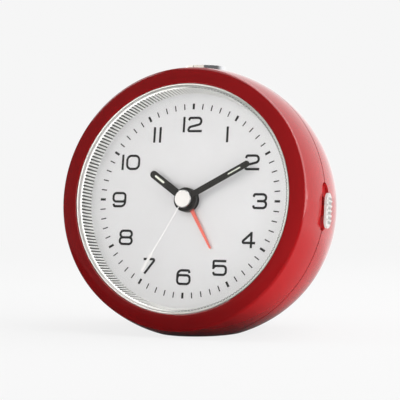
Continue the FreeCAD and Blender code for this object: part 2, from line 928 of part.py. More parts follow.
def motion_wheel():
    front = layer(motion_layer)[0]
    wheel = gear(motion_teeth, cannon_module, motion_phase(), motion_at, motion_layer)
    pinion = gear(motion_pinion_teeth, hour_module, 0.0, motion_at, hour_layer)
    neck = rod(2 * peg_radius, layer(hour_layer)[1] - layer_gap, front + layer_gap, *motion_at)
    body = wheel.fuse(pinion).fuse(neck)
    return body.cut(rod(peg_radius + running_gap, -big, big, *motion_at)).removeSplitter()


def cannon_pinion():
    pinion = gear(cannon_teeth, cannon_module, 0.0, centre, motion_layer)
    barrel = rod(cannon_tube_radius, -minute_hand_height - hand_thickness, layer(clutch_layer)[1])
    return pinion.fuse(barrel).cut(rod(second_arbor_radius + running_gap, -big, big)).removeSplitter()


def clutch_wheel():
    wheel = gear(clutch_teeth, clutch_module, 0.0, centre, clutch_layer)
    return wheel.cut(rod(cannon_tube_radius + press_gap, -big, big))


def arbor_with_pivots(x, z):
    """A thin arbor from floor to lid of the movement, with a finer pivot at each end."""
    start = movement_inside + layer_gap / 2
    end = movement_lid - layer_gap / 2
    reach = movement_floor / 2
    return rod(arbor_radius, start, end, x, z).fuse(rod(pivot_radius, start - reach, end + reach, x, z))


def third_wheel():
    pinion_phase = meshed(0.0, clutch_teeth, third_pinion_teeth, centre, third_at)
    pinion = gear(third_pinion_teeth, clutch_module, pinion_phase, third_at, clutch_layer)
    wheel = gear(third_teeth, third_module, 0.0, third_at, third_layer)
    return fuse([wheel, pinion, arbor_with_pivots(*third_at)])


def seconds_wheel():
    pinion_phase = meshed(0.0, third_teeth, second_pinion_teeth, third_at, centre)
    pinion = gear(second_pinion_teeth, third_module, pinion_phase, centre, third_layer)
    wheel = gear(second_teeth, second_module, 0.0, centre, second_layer)
    end = movement_lid - layer_gap / 2
    arbor = rod(second_arbor_radius, -second_cap_front + hand_thickness, end)
    pivot = rod(pivot_radius, end, end + movement_floor / 2)
    return fuse([wheel, pinion, arbor, pivot])


def intermediate_wheel():
    pinion_phase = meshed(0.0, second_teeth, intermediate_pinion_teeth, centre, intermediate_at)
    pinion = gear(intermediate_pinion_teeth, second_module, pinion_phase, intermediate_at, second_layer)
    wheel = gear(intermediate_teeth, intermediate_module, 0.0, intermediate_at, intermediate_layer)
    hub = rod(2 * pivot_radius, layer(second_layer)[0], layer(intermediate_layer)[1], *intermediate_at)
    body = fuse([wheel, pinion, hub])
    return body.cut(rod(pivot_radius + running_gap, -big, big, *intermediate_at))


def rotor():
    pinion_phase = meshed(0.0, intermediate_teeth, rotor_pinion_teeth, intermediate_at, rotor_at)
    pinion = gear(rotor_pinion_teeth, intermediate_module, pinion_phase, rotor_at, intermediate_layer)
    front = layer(clutch_layer)[0]
    magnet = rod(magnet_radius, front, front + magnet_thickness, *rotor_at)
    return fuse([magnet, pinion, arbor_with_pivots(*rotor_at)])


# Setting arbors and knobs

def setting_arbor(wheel, number, at):
    shaft = rod(set_arbor_radius, layer(number)[0], movement_back + set_arbor_reach, *at)
    foot = rod(arbor_radius, movement_inside - movement_floor / 2, layer(number)[0], *at)
    return fuse([wheel, shaft, foot])


def time_set_arbor():
    phase = meshed(motion_phase(), motion_teeth, time_set_teeth, motion_at, time_set_at)
    wheel = gear(time_set_teeth, cannon_module, phase, time_set_at, motion_layer)
    return setting_arbor(wheel, motion_layer, time_set_at)


def alarm_set_arbor():
    phase = meshed(0.0, alarm_teeth, alarm_set_teeth, centre, alarm_set_at)
    wheel = gear(alarm_set_teeth, alarm_module, phase, alarm_set_at, alarm_layer)
    return setting_arbor(wheel, alarm_layer, alarm_set_at)


def setting_knob(at):
    """A fluted knob at the back, with a long hollow stem that sits on the setting arbor."""
    back = rear_depth + knob_proud
    front = back - knob_height
    head = rod(knob_radius, front, back, *at)
    head = head.makeFillet(knob_round, ring_edges(head, back))
    for index in range(knob_flutes):
        dx, dz = at_angle(knob_radius + knob_flute_radius / 2, 360.0 * index / knob_flutes)
        head = head.cut(rod(knob_flute_radius, front - 1, back + 1, at[0] + dx, at[1] + dz))
    start = movement_back + case_gap
    stem = rod(knob_stem_radius, start, front + 1, *at)
    bore = rod(set_arbor_radius + press_gap, start - 1, movement_back + set_arbor_reach + case_gap, *at)
    return fuse([head, stem]).cut(bore)


# Hands: flat plates on the centre tubes, drawn at twelve and turned to their place

def bar(width, tip_width, length, start, end):
    """A hand's blade from the centre up to its tip, with a round end."""
    half = width / 2
    tip = tip_width / 2
    straight = length - tip
    body = plate([(-half, 0), (half, 0), (tip, straight), (-tip, straight)], start, end)
    return body.fuse(rod(tip, start, end, 0, straight))


def slot_bar(width, low, high, start, end):
    half = width / 2
    body = block(-half, half, start, end, low + half, high - half)
    return fuse([body, rod(half, start, end, 0, low + half), rod(half, start, end, 0, high - half)])


def hub_hand(height, hub_radius, hub_thickness, hole_radius, blade):
    """A blade with its round hub, whose front is level with the blade, bored to sit on its tube."""
    front = -height - hand_thickness
    hub = rod(hub_radius, front, front + hub_thickness)
    return blade.fuse(hub).cut(rod(hole_radius + press_gap, -big, big)).removeSplitter()


def alarm_hand():
    back = -alarm_hand_height
    blade = bar(alarm_hand_width, alarm_hand_tip_width, alarm_hand_length, back - hand_thickness, back)
    hand = hub_hand(alarm_hand_height, alarm_hub_radius, hand_thickness, alarm_tube_radius, blade)
    return turn_on_dial(hand, alarm_hand_angle)


def hour_slot():
    back = -hour_hand_height
    return slot_bar(hour_lume_width, hour_lume_start, hour_lume_end, back - hand_thickness, back)


def hour_hand():
    back = -hour_hand_height
    blade = bar(hour_hand_width, hour_hand_width, hour_hand_length, back - hand_thickness, back)
    blade = blade.cut(hour_slot())
    hand = hub_hand(hour_hand_height, hour_hub_radius, hour_hub_thickness, hour_tube_radius, blade)
    return turn_on_dial(hand, hour_hand_angle)


def hour_lume():
    return turn_on_dial(hour_slot(), hour_hand_angle)


def minute_slot():
    back = -minute_hand_height
    return slot_bar(minute_lume_width, minute_lume_start, minute_lume_end, back - hand_thickness, back)


def minute_hand():
    back = -minute_hand_height
    blade = bar(minute_hand_width, minute_hand_width, minute_hand_length, back - hand_thickness, back)
    blade = blade.cut(minute_slot())
    hand = hub_hand(minute_hand_height, minute_hub_radius, minute_hub_thickness, cannon_tube_radius, blade)
    return turn_on_dial(hand, minute_hand_angle)


def minute_lume():
    return turn_on_dial(minute_slot(), minute_hand_angle)


def second_hand():
    """A fine blade with a broad tip, under a round cap that closes the centre of the dial."""
    back = -second_hand_height
    front = back - second_hand_thickness
    half = second_hand_width / 2
    tip_half = second_tip_width / 2
    broad = second_hand_length - second_tip_length
    blade = plate([(-half, -second_tail_length), (half, -second_tail_length), (half, broad - tip_half),
                   (tip_half, broad), (tip_half, second_hand_length), (-tip_half, second_hand_length),
                   (-tip_half, broad), (-half, broad - tip_half)], front, back)
    cap = rod(second_cap_radius, -second_cap_front, back + second_hand_thickness)
    cap = cap.makeFillet(second_cap_round, ring_edges(cap, -second_cap_front))
    bore = rod(second_arbor_radius + press_gap, -second_cap_front + hand_thickness - press_gap, big)
    return turn_on_dial(fuse([blade, cap]).cut(bore), second_hand_angle)


# Movement case

def movement_box(inset, start, end):
    half_width = movement_half_width - inset
    half_height = movement_half_height - inset
    return rounded_plate(half_width, half_height, movement_corner_radius - inset, start, end)


def movement_case_front():
    """The tray that holds the wheels, with the bush that passes through carrier and dial."""
    body = movement_box(0, movement_front, movement_lid)
    body = body.cut(movement_box(movement_wall, movement_inside, movement_lid + 1))
    pieces = [body, rod(bush_radius, -bush_front, movement_inside)]
    cuts = [rod(alarm_tube_radius + running_gap, -bush_front - 1, movement_inside + 1)]
    for x, side in movement_ear_places:
        near = side * (movement_half_height - movement_wall)
        far = side * (movement_half_height + movement_ear)
        ear = block(x - movement_ear / 2, x + movement_ear / 2, movement_front, movement_inside,
                    min(near, far), max(near, far))
        pieces.append(ear)
        cuts.append(rod(movement_screw_radius + screw_way_gap, movement_front - 1, movement_inside + 1, x,
                        side * (movement_half_height + movement_ear / 2)))
    foot = movement_inside - movement_floor / 2
    pieces.append(rod(peg_radius, foot, layer(motion_layer)[1], *motion_at))
    pieces.append(rod(peg_shoulder_radius, foot, layer(hour_layer)[0] - layer_gap, *motion_at))
    bearing = movement_inside - movement_floor * 0.6
    for x, z in (third_at, rotor_at):
        cuts.append(rod(pivot_radius + running_gap, bearing, movement_inside + 1, x, z))
    for x, z in (time_set_at, alarm_set_at):
        cuts.append(rod(arbor_radius + running_gap, bearing, movement_inside + 1, x, z))
    body = fuse(pieces)
    for cut in cuts:
        body = body.cut(cut)
    return body


def movement_case_rear():
    """The lid behind the wheels, with the intermediate wheel's peg and the ways of the setting arbors."""
    body = movement_box(0, movement_lid, movement_back)
    peg = rod(pivot_radius, layer(second_layer)[0], movement_lid + movement_floor / 2, *intermediate_at)
    body = fuse([body, peg])
    bearing = movement_lid + movement_floor * 0.6
    for x, z in (centre, third_at, rotor_at):
        body = body.cut(rod(pivot_radius + running_gap, movement_lid - 1, bearing, x, z))
    for x, z in (time_set_at, alarm_set_at):
        body = body.cut(rod(set_arbor_radius + running_gap, movement_lid - 1, movement_back + 1, x, z))
    return body


# Motor and electronics inside the movement

stator_depth = layer(clutch_layer)[0] + (magnet_thickness - stator_thickness) / 2


def stator():
    """Two soft-iron legs from the rotor down to the coil's core, in one plate."""
    x, z = rotor_at
    half = stator_width / 2
    left = coil_left
    right = coil_right
    low = -coil_low - coil_core_radius
    high = z + magnet_radius + magnet_gap + 0.6
    end = stator_depth + stator_thickness
    foot = stator_foot
    points = [(left, low), (left + foot, low), (x - half + 1, z - half), (x + half - 1, z - half),
              (right - foot, low), (right, low), (right, low + foot), (x + half, z), (x + half - 3, high),
              (x - half + 3, high), (x - half, z), (left, low + foot)]
    body = plate(points, stator_depth, end)
    return body.cut(rod(magnet_radius + magnet_gap, stator_depth - 1, end + 1, x, z))


def coil():
    """The winding between two flanges, on a flat core that the stator's feet rest on."""
    depth = stator_depth - coil_core_radius
    core = block(coil_left, coil_right, stator_depth - 2 * coil_core_radius, stator_depth,
                 -coil_low - coil_core_radius, -coil_low + coil_core_radius)
    inner = coil_left + coil_foot
    outer = coil_right - coil_foot
    pieces = [core, cross_rod(coil_radius, inner, outer, depth, -coil_low)]
    for start in (inner, outer - coil_flange):
        pieces.append(cross_rod(coil_flange_radius, start, start + coil_flange, depth, -coil_low))
    return fuse(pieces)


def circuit_board():
    back = movement_inside + case_gap / 2 + board_thickness
    body = block(board_left, board_right, movement_inside + case_gap / 2, back, board_low, board_high)
    chip = rounded_plate(2.5, 2.5, 0.5, back, back + 1.0, board_left + 4.0, board_high - 5.0)
    return body.fuse(chip)


def quartz_crystal():
    back = movement_inside + case_gap / 2 + board_thickness
    depth = back + crystal_radius + case_gap / 2
    low = board_low + 2.0
    return upright_rod(crystal_radius, low, low + crystal_length, depth, board_left + 8.5)


# Battery, contacts and door

def cell_middle_depth():
    return bay_floor_depth + bay_clearance / 2 + cell_radius


def battery():
    depth = cell_middle_depth()
    half = cell_length / 2
    can = cross_rod(cell_radius, -half, half, depth, bay_rise)
    return can.fuse(cross_rod(cell_nub_radius, -half, half + cell_nub, depth, bay_rise))


def battery_plus_contact():
    """A flat tab at the end wall, with a bead that meets the cell's nub."""
    depth = cell_middle_depth()
    wall_x = bay_half_length
    half = contact_width / 2
    low = bay_rise - half
    tab = block(wall_x - contact_thickness, wall_x, depth - half, depth + half, low, low + contact_width)
    return tab.fuse(cross_rod(cell_nub_radius, cell_length / 2 + cell_nub, wall_x, depth, bay_rise))


def battery_minus_contact():
    """A leaf folded at the top that presses on the cell's flat end."""
    depth = cell_middle_depth()
    half = contact_width / 2
    wall_x = -bay_half_length
    cell_x = -cell_length / 2
    skin = contact_thickness
    points = [(wall_x, -half), (wall_x + skin, -half), (wall_x + skin, half - skin), (cell_x - 2 * skin, 0.6),
              (cell_x - skin, 0.0), (cell_x - 2 * skin, -half), (cell_x - skin, -half), (cell_x, 0.0),
              (cell_x - skin, 0.9), (wall_x + skin, half), (wall_x, half)]
    return plate([(x, z + bay_rise) for x, z in points], depth - half, depth + half)


def battery_door():
    """A flush door with a rounded lower edge that turns on two end pins, and a grip at its top edge."""
    low = door_hinge_rise
    depth = door_hinge_depth
    body = door_plate(0, door_inside, rear_depth)
    body = body.cut(block(-big, big, door_inside - 1, rear_depth + 1, low - big, low))
    edge = cross_rod(door_thickness / 2, -door_half_length, door_half_length, depth, low)
    reach = door_half_length + door_pin_length - running_gap
    body = fuse([body, edge, cross_rod(door_pin_radius, -reach, reach, depth, low)])
    half = door_grip_width / 2
    grip_rise = bay_rise + door_half_height - door_grip_drop
    body = body.cut(cross_rod(door_grip_radius, -half, half, depth + door_grip_radius, grip_rise))
    for index in range(door_rib_count):
        z = bay_rise + (index - (door_rib_count - 1) / 2) * 2.0
        body = body.cut(block(-half, half, rear_depth - 0.3, rear_depth + 1, z - 0.35, z + 0.35))
    return body


def sounder():
    back = rear_inside - case_gap
    body = rod(sounder_radius, back - sounder_height, back, 0, -sounder_low)
    return body.cut(rod(sounder_radius * 0.3, back - 0.8, back + 1, 0, -sounder_low))


# Snooze button and its switch

def snooze_button():
    """The domed cap with the flange that keeps it in the case, and the stem that presses the switch."""
    top = barrel_radius + button_crown_height
    edge = top - button_edge_drop
    ball = (button_radius ** 2 + button_edge_drop ** 2) / (2 * button_edge_drop)
    middle = button_radius / 2
    middle_height = top - ball + math.sqrt(ball ** 2 - middle ** 2)
    outline = Outline(0, top).arc(middle, middle_height, button_radius, edge).round(button_edge_round)
    outline.line(button_radius, button_flange_top).line(button_flange_radius, button_flange_top)
    outline.line(button_flange_radius, button_flange_low).line(button_stem_radius, button_flange_low)
    body = outline.line(button_stem_radius, shelf_switch_top).line(0, shelf_switch_top).turned()
    body.rotate(Vector(0, 0, 0), Vector(1, 0, 0), 90)
    body.translate(Vector(0, parting_depth, 0))
    return body


def snooze_plunger():
    low = shelf_switch_top - snooze_plunger_length
    return upright_rod(snooze_plunger_radius, low, shelf_switch_top, parting_depth)


def snooze_switch():
    half = snooze_switch_size / 2
    top = snooze_switch_floor + snooze_switch_height
    body = block(-half, half, parting_depth - half, parting_depth + half, snooze_switch_floor, top)
    low = shelf_switch_top - snooze_plunger_length - button_travel - case_gap
    return body.cut(upright_rod(snooze_plunger_radius + running_gap, low, big, parting_depth))


# Alarm slider and its switch

def bowed(radius, z_shift):
    """The room inside a round wall of this radius that is centred this far up the dial."""
    half = recess_width
    start = Vector(0, parting_depth - half, z_shift)
    return Part.makeCylinder(radius, 2 * half, start, case_axis)


def slider_pad():
    """The round-ended plate that a thumb moves, with half-round ridges across it."""
    under = barrel_radius + slider_lift
    outer = under + slider_thickness
    pad = long_round_block(slider_length, slider_width, under, outer, slider_rise)
    rim = [edge for edge in pad.Edges if edge.BoundBox.XMin > outer - slider_round]
    pieces = [pad.makeFillet(slider_round, rim)]
    half_span = slider_ridge_span / 2
    ridge_x = outer + slider_ridge_height - slider_ridge_radius
    for index in range(slider_ridge_count):
        z = slider_rise + (index - (slider_ridge_count - 1) / 2) * slider_ridge_pitch
        pieces.append(rod(slider_ridge_radius, parting_depth - half_span, parting_depth + half_span, ridge_x, z))
    return fuse(pieces)


def alarm_slider():
    """The ribbed pad, the stem through the slot, the keeper inside and the pin that moves the switch."""
    middle = slider_rise
    bow_rise = -slider_travel / 2
    pieces = [slider_pad()]
    half = slider_stem_width / 2
    inner = barrel_radius - wall - slide_clearance - keeper_thickness
    stem_half = slider_stem_length / 2
    stem_top = barrel_radius + slider_lift + slider_thickness / 2
    pieces.append(block(inner + 1, stem_top, parting_depth - half, parting_depth + half,
                        middle - stem_half, middle + stem_half))
    keeper = block(inner, barrel_radius, parting_depth - keeper_width / 2, parting_depth + keeper_width / 2,
                   middle - keeper_length / 2, middle + keeper_length / 2)
    pieces.append(keeper.common(bowed(barrel_radius - wall - slide_clearance, bow_rise)))
    pieces.append(cross_rod(actuator_radius, inner - actuator_length, inner + 1, parting_depth, middle))
    return fuse(pieces)


def alarm_switch():
    outer = alarm_switch_outer - case_gap
    half = alarm_switch_length / 2
    body = block(alarm_switch_inner, outer, parting_depth - alarm_switch_width / 2,
                 parting_depth + alarm_switch_width / 2, slot_rise - half, slot_rise + half)
    slot_half = actuator_radius + case_gap
    low = slider_rise - slot_half
    high = slider_rise + slider_travel + slot_half
    return body.cut(block(outer - actuator_length - case_gap, outer + 1, parting_depth - slot_half,
                          parting_depth + slot_half, low, high))


pieces = {
    "front_shell": front_shell,
    "rear_shell": rear_shell,
    "lens": lens,
    "dial_ring": dial_ring,
    "dial": dial,
    "dial_carrier": dial_carrier,
    "carrier_screws": carrier_screws,
    "case_screws": case_screws,
    "movement_case_front": movement_case_front,
    "movement_case_rear": movement_case_rear,
    "movement_screws": movement_screws,
    "alarm_wheel": alarm_wheel,
    "hour_wheel": hour_wheel,
    "motion_wheel": motion_wheel,
    "cannon_pinion": cannon_pinion,
    "clutch_wheel": clutch_wheel,
    "third_wheel": third_wheel,
    "seconds_wheel": seconds_wheel,
    "intermediate_wheel": intermediate_wheel,
    "rotor": rotor,
    "stator": stator,
    "coil": coil,
    "circuit_board": circuit_board,
    "quartz_crystal": quartz_crystal,
    "time_set_arbor": time_set_arbor,
    "alarm_set_arbor": alarm_set_arbor,
    "time_knob": lambda: setting_knob(time_set_at),
    "alarm_knob": lambda: setting_knob(alarm_set_at),
    "alarm_hand": alarm_hand,
    "hour_hand": hour_hand,
    "hour_lume": hour_lume,
    "minute_hand": minute_hand,
    "minute_lume": minute_lume,
    "second_hand": second_hand,
    "battery": battery,
    "battery_plus_contact": battery_plus_contact,
    "battery_minus_contact": battery_minus_contact,
    "battery_door": battery_door,
    "sounder": sounder,
    "snooze_button": snooze_button,
    "snooze_plunger": snooze_plunger,
    "snooze_switch": snooze_switch,
    "alarm_slider": alarm_slider,
    "alarm_switch": alarm_switch,
}

os.makedirs("parts", exist_ok=True)
for name, make in pieces.items():
    save(name, make())
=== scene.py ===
"""Looks of the analog alarm clock: a finish for every piece, the printed dial and a plain studio."""

import json
import logging
import math
from collections.abc import Callable
from dataclasses import dataclass, field
from enum import Enum
from typing import ClassVar, TypeAlias

import bpy
from mathutils import Matrix, Vector


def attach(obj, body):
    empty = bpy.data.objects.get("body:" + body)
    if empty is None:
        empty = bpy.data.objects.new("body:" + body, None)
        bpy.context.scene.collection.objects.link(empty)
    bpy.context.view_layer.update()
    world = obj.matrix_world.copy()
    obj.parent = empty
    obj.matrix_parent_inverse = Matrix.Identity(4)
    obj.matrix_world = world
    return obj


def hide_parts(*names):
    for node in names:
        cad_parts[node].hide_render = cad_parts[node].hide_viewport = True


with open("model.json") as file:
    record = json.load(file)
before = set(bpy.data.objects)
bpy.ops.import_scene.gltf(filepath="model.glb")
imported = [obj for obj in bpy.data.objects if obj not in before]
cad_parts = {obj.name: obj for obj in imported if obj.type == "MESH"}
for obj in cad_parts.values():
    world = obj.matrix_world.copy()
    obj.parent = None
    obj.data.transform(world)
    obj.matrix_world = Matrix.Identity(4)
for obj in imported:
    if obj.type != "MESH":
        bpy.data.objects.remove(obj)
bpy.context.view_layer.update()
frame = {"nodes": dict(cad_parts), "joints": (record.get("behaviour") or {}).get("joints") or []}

log = logging.getLogger("alarm_clock")

MM = 0.001
PALE = 0.921

Pair = tuple[float, float]
Triple = tuple[float, float, float]
Colour = Triple
Piece = bpy.types.Object
Number: TypeAlias = "Value | float"
Tone: TypeAlias = "Value | Colour"


class Reach(Enum):
    """What a lamp does to the pieces it names, as the state of their links."""

    LIGHTS_ONLY = "INCLUDE"
    SPARES = "EXCLUDE"


# Where the case stands, read from the frame


@dataclass(frozen=True)
class CaseAxis:
    """The case's own axis: it runs from the middle of the dial to the back."""

    centre: Vector
    direction: Vector

    @classmethod
    def from_frame(cls) -> "CaseAxis":
        """Return the axis that the minute hand turns on."""
        spin = next(joint for joint in frame["joints"] if joint["name"] == "minute_spin")
        return cls(Vector(spin["pos_m"]), Vector(spin["axis"]).normalized())

    def matrix(self) -> Matrix:
        """Return the matrix that takes the clock's own frame to the standing clock."""
        return Matrix.Translation(self.centre) @ Matrix.Rotation(math.asin(self.direction.z), 4, "X")

    def dial_face(self) -> Matrix:
        """Return the matrix for dial work drawn with X to the reader's right, Y up and Z to the reader."""
        return self.matrix() @ Matrix.Rotation(math.radians(90), 4, "X")


axis = CaseAxis.from_frame()


# Shader graphs


@dataclass(frozen=True)
class Noise:
    """Soft noise: its blots in a metre, its detail, the levels it rises between and its stretch."""

    per_metre: float
    detail: float = 3.0
    levels: Pair | None = None
    stretch: Triple = (1.0, 1.0, 1.0)


@dataclass(frozen=True)
class Skin:
    """A fine relief: its noise, its full depth in metres and its least and greatest roughness."""

    noise: Noise
    depth: float
    rough: Pair


@dataclass(frozen=True)
class Value:
    """A shader socket that takes part in Python arithmetic."""

    graph: "Graph"
    socket: bpy.types.NodeSocket

    def _math(self, operation: str, *values: Number) -> "Value":
        """Return the result of a Math node on these values."""
        return self.graph.value("Math", dict(enumerate(values)), {"operation": operation})

    def __add__(self, other: Number) -> "Value":
        """Return the sum."""
        return self._math("ADD", self, other)

    def __sub__(self, other: Number) -> "Value":
        """Return the difference."""
        return self._math("SUBTRACT", self, other)

    def __rsub__(self, other: float) -> "Value":
        """Return the difference from a number."""
        return self._math("SUBTRACT", other, self)

    def __mul__(self, other: Number) -> "Value":
        """Return the product."""
        return self._math("MULTIPLY", self, other)

    def __truediv__(self, other: Number) -> "Value":
        """Return the quotient."""
        return self._math("DIVIDE", self, other)

    def __pow__(self, other: Number) -> "Value":
        """Return the power."""
        return self._math("POWER", self, other)

    def size(self) -> "Value":
        """Return the distance from 0."""
        return self._math("ABSOLUTE", self)

    def above(self, other: Number) -> "Value":
        """Return 1 where this value is the greater one, else 0."""
        return self._math("GREATER_THAN", self, other)

    def folded(self, scale: float) -> "Value":
        """Return the distance to the nearest even multiple of a scale."""
        return self._math("PINGPONG", self, scale)

    def turn(self, across: "Value") -> "Value":
        """Return the angle, in radians, of the point this far up and that far across."""
        return self._math("ARCTAN2", self, across)

    def smooth(self, low: float, high: float) -> "Value":
        """Return 0 below low and 1 above high, with a smooth rise between."""
        inputs = {"Value": self, "From Min": low, "From Max": high}
        return self.graph.value("MapRange", inputs, {"interpolation_type": "SMOOTHSTEP"})


class Graph:
    """Builds the nodes of one material or world."""

    def __init__(self, tree: bpy.types.NodeTree) -> None:
        """Start with an empty tree."""
        self.tree = tree
        tree.nodes.clear()

    def node(self, kind: str, inputs: dict | None = None, settings: dict | None = None) -> bpy.types.Node:
        """Add a node.

        Args:
            kind: The node's type name without "ShaderNode".
            inputs: Values or links by socket name or number. Colours have no alpha.
            settings: Its options, which are set first.

        Returns:
            The new node.
        """
        node = self.tree.nodes.new("ShaderNode" + kind)
        for name, setting in (settings or {}).items():
            setattr(node, name, setting)
        for name, value in (inputs or {}).items():
            if isinstance(value, Value):
                self.tree.links.new(value.socket, node.inputs[name])
            elif node.inputs[name].type == "RGBA":
                node.inputs[name].default_value = (*value, 1)
            else:
                node.inputs[name].default_value = value
        return node

    def value(self, kind: str, inputs: dict | None = None, settings: dict | None = None,
              output: int | str = 0) -> Value:
        """Add a node and return one of its outputs."""
        return Value(self, self.node(kind, inputs, settings).outputs[output])

    def waves(self, direction: str, **inputs: float) -> Value:
        """Return bands across a direction, with input names that have underscores for spaces."""
        settings = {"wave_type": "BANDS", "bands_direction": direction}
        return self.value("TexWave", {"Vector": self.place(), **spaced(inputs)}, settings, 1)

    def ray(self, kind: str) -> Value:
        """Return 1 for rays of this kind, else 0."""
        return self.value("LightPath", output=f"Is {kind} Ray")

    def parts(self, vector: Value) -> tuple[Value, Value, Value]:
        """Return the three parts of a vector."""
        node = self.node("SeparateXYZ", {0: vector})
        return tuple(Value(self, output) for output in node.outputs)

    def place(self, **mapping: object) -> Value:
        """Return the object's own coordinates, moved by the inputs of a Mapping node."""
        coordinates = self.value("TexCoord", output="Object")
        return self.value("Mapping", {"Vector": coordinates, **mapping})

    def dial_place(self) -> tuple[Value, Value, Value]:
        """Return the clock's own X, depth and height coordinates, in metres."""
        inverse = axis.matrix().inverted()
        return self.parts(self.place(Location=inverse.translation, Rotation=inverse.to_euler()))

    def noise(self, noise: Noise) -> Value:
        """Return soft noise, which rises from 0 to 1 between its levels if it has them."""
        inputs = {"Vector": self.place(Scale=noise.stretch), "Scale": noise.per_metre, "Detail": noise.detail}
        value = self.value("TexNoise", inputs)
        return value.smooth(*noise.levels) if noise.levels else value

    def mix(self, factor: Value, first: Tone, second: Tone) -> Value:
        """Return a colour between two colours."""
        return self.value("Mix", {0: factor, 6: first, 7: second}, {"data_type": "RGBA"}, 2)

    def bump(self, height: Value, depth: float) -> Value:
        """Return the normal of a surface with this relief, whose full depth is given in metres."""
        return self.value("Bump", {"Height": height, "Distance": depth, "Strength": 1.0})

    def principled(self, **inputs: object) -> None:
        """Finish with a principled surface whose sockets are named with underscores for spaces."""
        self.node("OutputMaterial", {"Surface": self.value("BsdfPrincipled", spaced(inputs))})

    def skin(self, skin: Skin, colour: Value, **others: object) -> None:
        """Finish with a principled surface that has this relief, this colour and other inputs."""
        relief = self.noise(skin.noise)
        least, greatest = skin.rough
        rough = relief * (greatest - least) + least
        self.principled(Base_Color=colour, Roughness=rough, Normal=self.bump(relief, skin.depth), **others)

    def mixed(self, share: Value, first: Value, second: Value) -> None:
        """Finish with a surface between two shaders."""
        mixed = self.value("MixShader", {0: share, 1: first, 2: second})
        self.node("OutputMaterial", {"Surface": mixed})


def spaced(inputs: dict[str, object]) -> dict[str, object]:
    """Return inputs with spaces for the underscores in their names."""
    return {name.replace("_", " "): value for name, value in inputs.items()}


def darker(colour: Colour, share: float) -> Colour:
    """Return a colour at a share of its strength."""
    return tuple(channel * share for channel in colour)


# Finishes


@dataclass(frozen=True)
class Finish:
    """A material that can be put on pieces."""

    name: str

    def shade(self, graph: Graph) -> None:
        """Build the nodes."""
        raise NotImplementedError

    def material(self) -> bpy.types.Material:
        """Return the material, which is made when it is first asked for."""
        found = bpy.data.materials.get(self.name)
        if found:
            return found
        made = bpy.data.materials.new(self.name)
        made.use_nodes = True
        self.shade(Graph(made.node_tree))
        return made

    def put_on(self, piece: Piece) -> None:
        """Give a piece this finish all over."""
        piece.data.materials.clear()
        piece.data.materials.append(self.material())


@dataclass(frozen=True)
class Moulded(Finish):
    """Moulded plastic: an even colour with slight mottling, a fine skin and handling marks."""

    colour: Colour = (0.5, 0.5, 0.5)
    roughness: float = 0.3
    handling: float = 0.08
    grain_per_metre: float = 1500.0
    grain_depth: float = 0.00001
    mottling: float = 0.06
    shine: float = 0.5
    blots: Noise = Noise(55.0, 3.0, (0.3, 0.75))
    marks: Noise = Noise(28.0, 5.0, (0.35, 0.8))

    def shade(self, graph: Graph) -> None:
        """Build the plastic."""
        dark = darker(self.colour, 1 - self.mottling)
        graph.principled(
            Base_Color=graph.mix(graph.noise(self.blots), self.colour, dark),
            Roughness=graph.noise(self.marks) * self.handling + self.roughness,
            Normal=graph.bump(graph.noise(Noise(self.grain_per_metre)), self.grain_depth),
            Specular_IOR_Level=self.shine,
        )


@dataclass(frozen=True)
class Painted(Finish):
    """A thin even paint on metal, with a fine spray grain."""

    colour: Colour = (0.5, 0.5, 0.5)
    roughness: float = 0.4
    metallic: float = 0.0
    unevenness: float = 0.08
    grain_depth: float = 0.000004
    clouded: float = 0.9
    spray: Noise = Noise(5200.0, 2.0)
    cloud: Noise = Noise(160.0, 2.0, (0.3, 0.7))

    def shade(self, graph: Graph) -> None:
        """Build the paint."""
        rough = (self.roughness - self.unevenness, self.roughness + self.unevenness)
        tone = graph.mix(graph.noise(self.cloud), self.colour, darker(self.colour, self.clouded))
        graph.skin(Skin(self.spray, self.grain_depth, rough), tone, Metallic=self.metallic)


@dataclass(frozen=True)
class Metal(Finish):
    """Bare or plated metal with drawn lines along one direction and faint marks."""

    colour: Colour = (0.7, 0.7, 0.7)
    roughness: float = 0.25
    lines: Triple = (1.0, 1.0, 1.0)
    line_depth: float = 0.000002
    marks: float = 0.1
    lines_per_metre: float = 3500.0
    line_share: float = 0.5
    stained: float = 0.86
    stain: Noise = Noise(90.0, 4.0, (0.4, 0.8))

    def shade(self, graph: Graph) -> None:
        """Build the metal."""
        lines = graph.noise(Noise(self.lines_per_metre, stretch=self.lines))
        stain = graph.noise(self.stain)
        drawn = lines * (self.roughness * self.line_share)
        graph.principled(
            Base_Color=graph.mix(stain, self.colour, darker(self.colour, self.stained)),
            Metallic=1.0,
            Roughness=stain * self.marks + drawn + self.roughness * (1 - self.line_share / 2),
            Normal=graph.bump(lines, self.line_depth),
        )


@dataclass(frozen=True)
class ButtonChrome(Metal):
    """The top button's chrome, with a painted reflection of a dark room on its right half."""

    dark_half: Colour = (0.20, 0.195, 0.18)
    edge_tint: Colour = (0.62, 0.61, 0.58)
    dark_from: Pair = (2 * MM, 3 * MM)
    wear: Noise = Noise(900.0)

    def shade(self, graph: Graph) -> None:
        """Build the chrome."""
        # Painted reflection: the base colour turns dark across the button's right half
        tone = graph.mix(graph.dial_place()[0].smooth(*self.dark_from), self.colour, self.dark_half)
        skin = Skin(self.wear, self.line_depth, (self.roughness, self.roughness + self.marks))
        graph.skin(skin, tone, Metallic=1.0, Specular_Tint=self.edge_tint)


